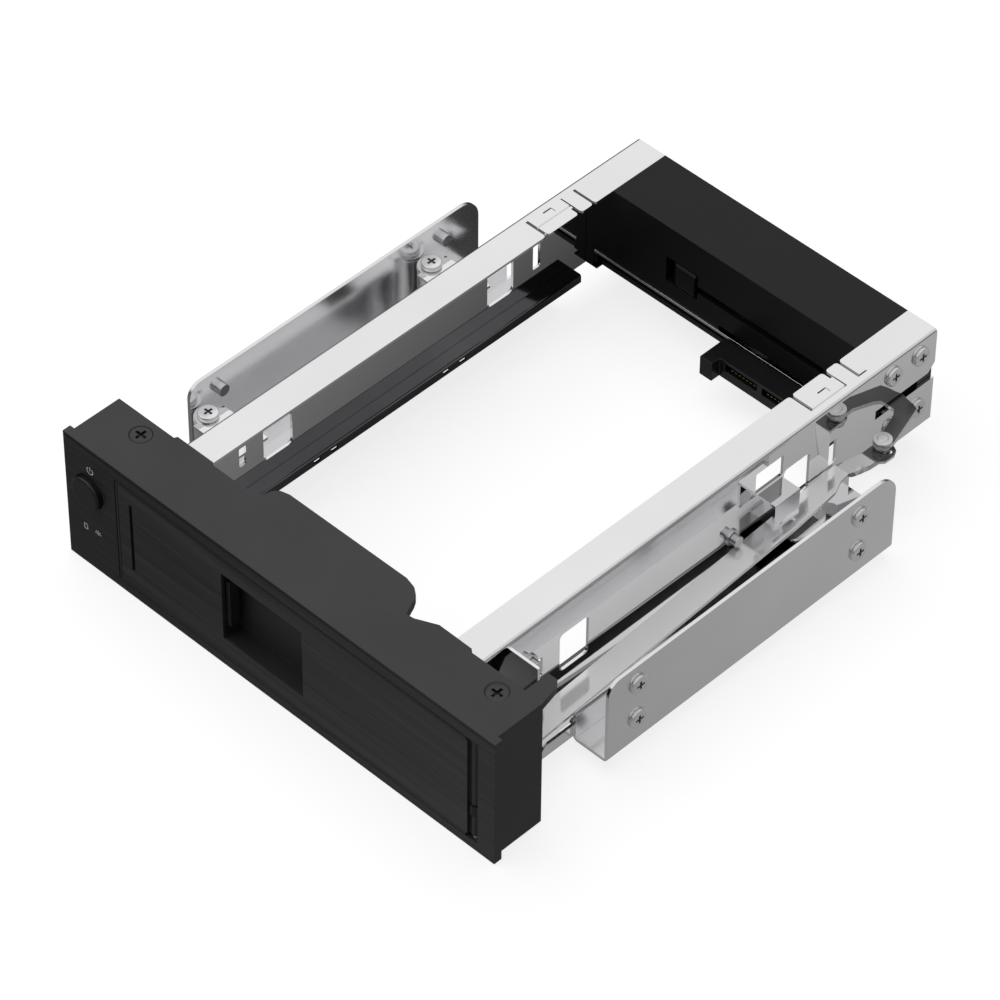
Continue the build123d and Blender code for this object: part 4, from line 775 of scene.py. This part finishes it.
floor_mesh = bpy.data.meshes.new("floor")
corners = np.array([(-1, -1), (1, -1), (1, 1), (-1, 1)]) * FLOOR_SIZE / 2
floor_mesh.from_pydata(np.column_stack([corners, np.full(4, -FLOOR_DROP)]).tolist(), [], [(0, 1, 2, 3)])
floor_mesh.materials.append(table_white())
floor = bpy.data.objects.new("floor", floor_mesh)
bpy.context.scene.collection.objects.link(floor)

# Studio: one large soft lamp above and to the left, a weaker one in front, and a world that is
# even for the eye. The lamps are hidden from metal. It sees the table and a sky that is white
# above, dark at the horizon and a little dimmer on the right.
OVERHEAD_POWER = 14.0
OVERHEAD_SIZE = 1.6
OVERHEAD_PLACE = (-0.4, 0.0, 1.4)
FRONT_POWER = 2.0
FRONT_SIZE = 0.8
FRONT_PLACE = (-0.5, -1.2, 0.5)
WORLD_LIGHT = 0.35
WORLD_WHITE = 1.0
HORIZON_SPAN = (0.05, 0.55)
HORIZON_LIGHT = 0.02
SKY_SPAN = (-0.15, 0.30)
SKY_LIGHT = (1.12, 0.85)


def soft_lamp(name, size, power, place):
    """Square lamp at a place, turned to face the cage."""
    data = bpy.data.lights.new(name, "AREA")
    data.shape = "SQUARE"
    data.size = size
    data.energy = power
    lamp = bpy.data.objects.new(name, data)
    bpy.context.scene.collection.objects.link(lamp)
    lamp.location = place
    away = np.array(place) / np.linalg.norm(place)
    lamp.rotation_euler = (math.acos(away[2]), 0.0, math.atan2(away[1], away[0]) + math.pi / 2)
    lamp.visible_glossy = False


soft_lamp("overhead", OVERHEAD_SIZE, OVERHEAD_POWER, OVERHEAD_PLACE)
soft_lamp("front", FRONT_SIZE, FRONT_POWER, FRONT_PLACE)


def background(tree, strength):
    """Light of the world with a fixed strength, or with the strength that a socket gives."""
    sky = tree.nodes.new("ShaderNodeBackground")
    if isinstance(strength, float):
        sky.inputs["Strength"].default_value = strength
    else:
        tree.links.new(strength, sky.inputs["Strength"])
    return sky.outputs["Background"]


def studio_world():
    """Even white for the eye and for glass, a sky with a dark horizon for metal, a fill for the rest."""
    world = bpy.data.worlds.new("studio")
    world.use_nodes = True
    tree = world.node_tree
    tree.nodes.clear()
    output = tree.nodes.new("ShaderNodeOutputWorld")
    paths = tree.nodes.new("ShaderNodeLightPath")
    in_metal = tree.nodes.new("ShaderNodeMapRange")
    in_metal.inputs["From Min"].default_value, in_metal.inputs["From Max"].default_value = HORIZON_SPAN
    in_metal.inputs["To Min"].default_value = HORIZON_LIGHT
    tree.links.new(along(tree, "Z", "Generated"), in_metal.inputs["Value"])
    across = span_map(tree, along(tree, "X", "Generated"), *SKY_LIGHT, *SKY_SPAN)
    tree.links.new(across, in_metal.inputs["To Max"])
    shader = background(tree, WORLD_LIGHT)
    for ray, strength in (("Is Glossy Ray", in_metal.outputs["Result"]),
                          ("Is Transmission Ray", WORLD_WHITE), ("Is Camera Ray", WORLD_WHITE)):
        mix = tree.nodes.new("ShaderNodeMixShader")
        tree.links.new(paths.outputs[ray], mix.inputs["Fac"])
        tree.links.new(shader, mix.inputs[1])
        tree.links.new(background(tree, strength), mix.inputs[2])
        shader = mix.outputs["Shader"]
    tree.links.new(shader, output.inputs["Surface"])
    return world


bpy.context.scene.world = studio_world()

# Camera: placed where the photograph was taken, found from the faceplate and the bay screws.
# Its distance and turn are measured from the middle of the faceplate's lower front edge.
CAMERA_FROM_FACE = (0.65837, -0.59992, 0.95293)
CAMERA_AZIMUTH = 44.19
CAMERA_ELEVATION = 44.80
CAMERA_ROLL = 0.47
CAMERA_LENS = 192.77
SENSOR_WIDTH = 36.0
camera_data = bpy.data.cameras.new("camera")
camera_data.lens = CAMERA_LENS
camera_data.sensor_width = SENSOR_WIDTH
camera = bpy.data.objects.new("camera", camera_data)
bpy.context.scene.collection.objects.link(camera)
face_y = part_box("bezel")[0][1]
camera.location = (CAMERA_FROM_FACE[0], CAMERA_FROM_FACE[1] + face_y, CAMERA_FROM_FACE[2])
camera.rotation_mode = "QUATERNION"
azimuth, tilt, roll = (math.radians(a) for a in (CAMERA_AZIMUTH, 90.0 - CAMERA_ELEVATION, CAMERA_ROLL))
camera.rotation_quaternion = (Matrix.Rotation(azimuth, 3, "Z") @ Matrix.Rotation(tilt, 3, "X")
                              @ Matrix.Rotation(roll, 3, "Z")).to_quaternion()
bpy.context.scene.camera = camera
bpy.context.scene.view_settings.view_transform = "Standard"
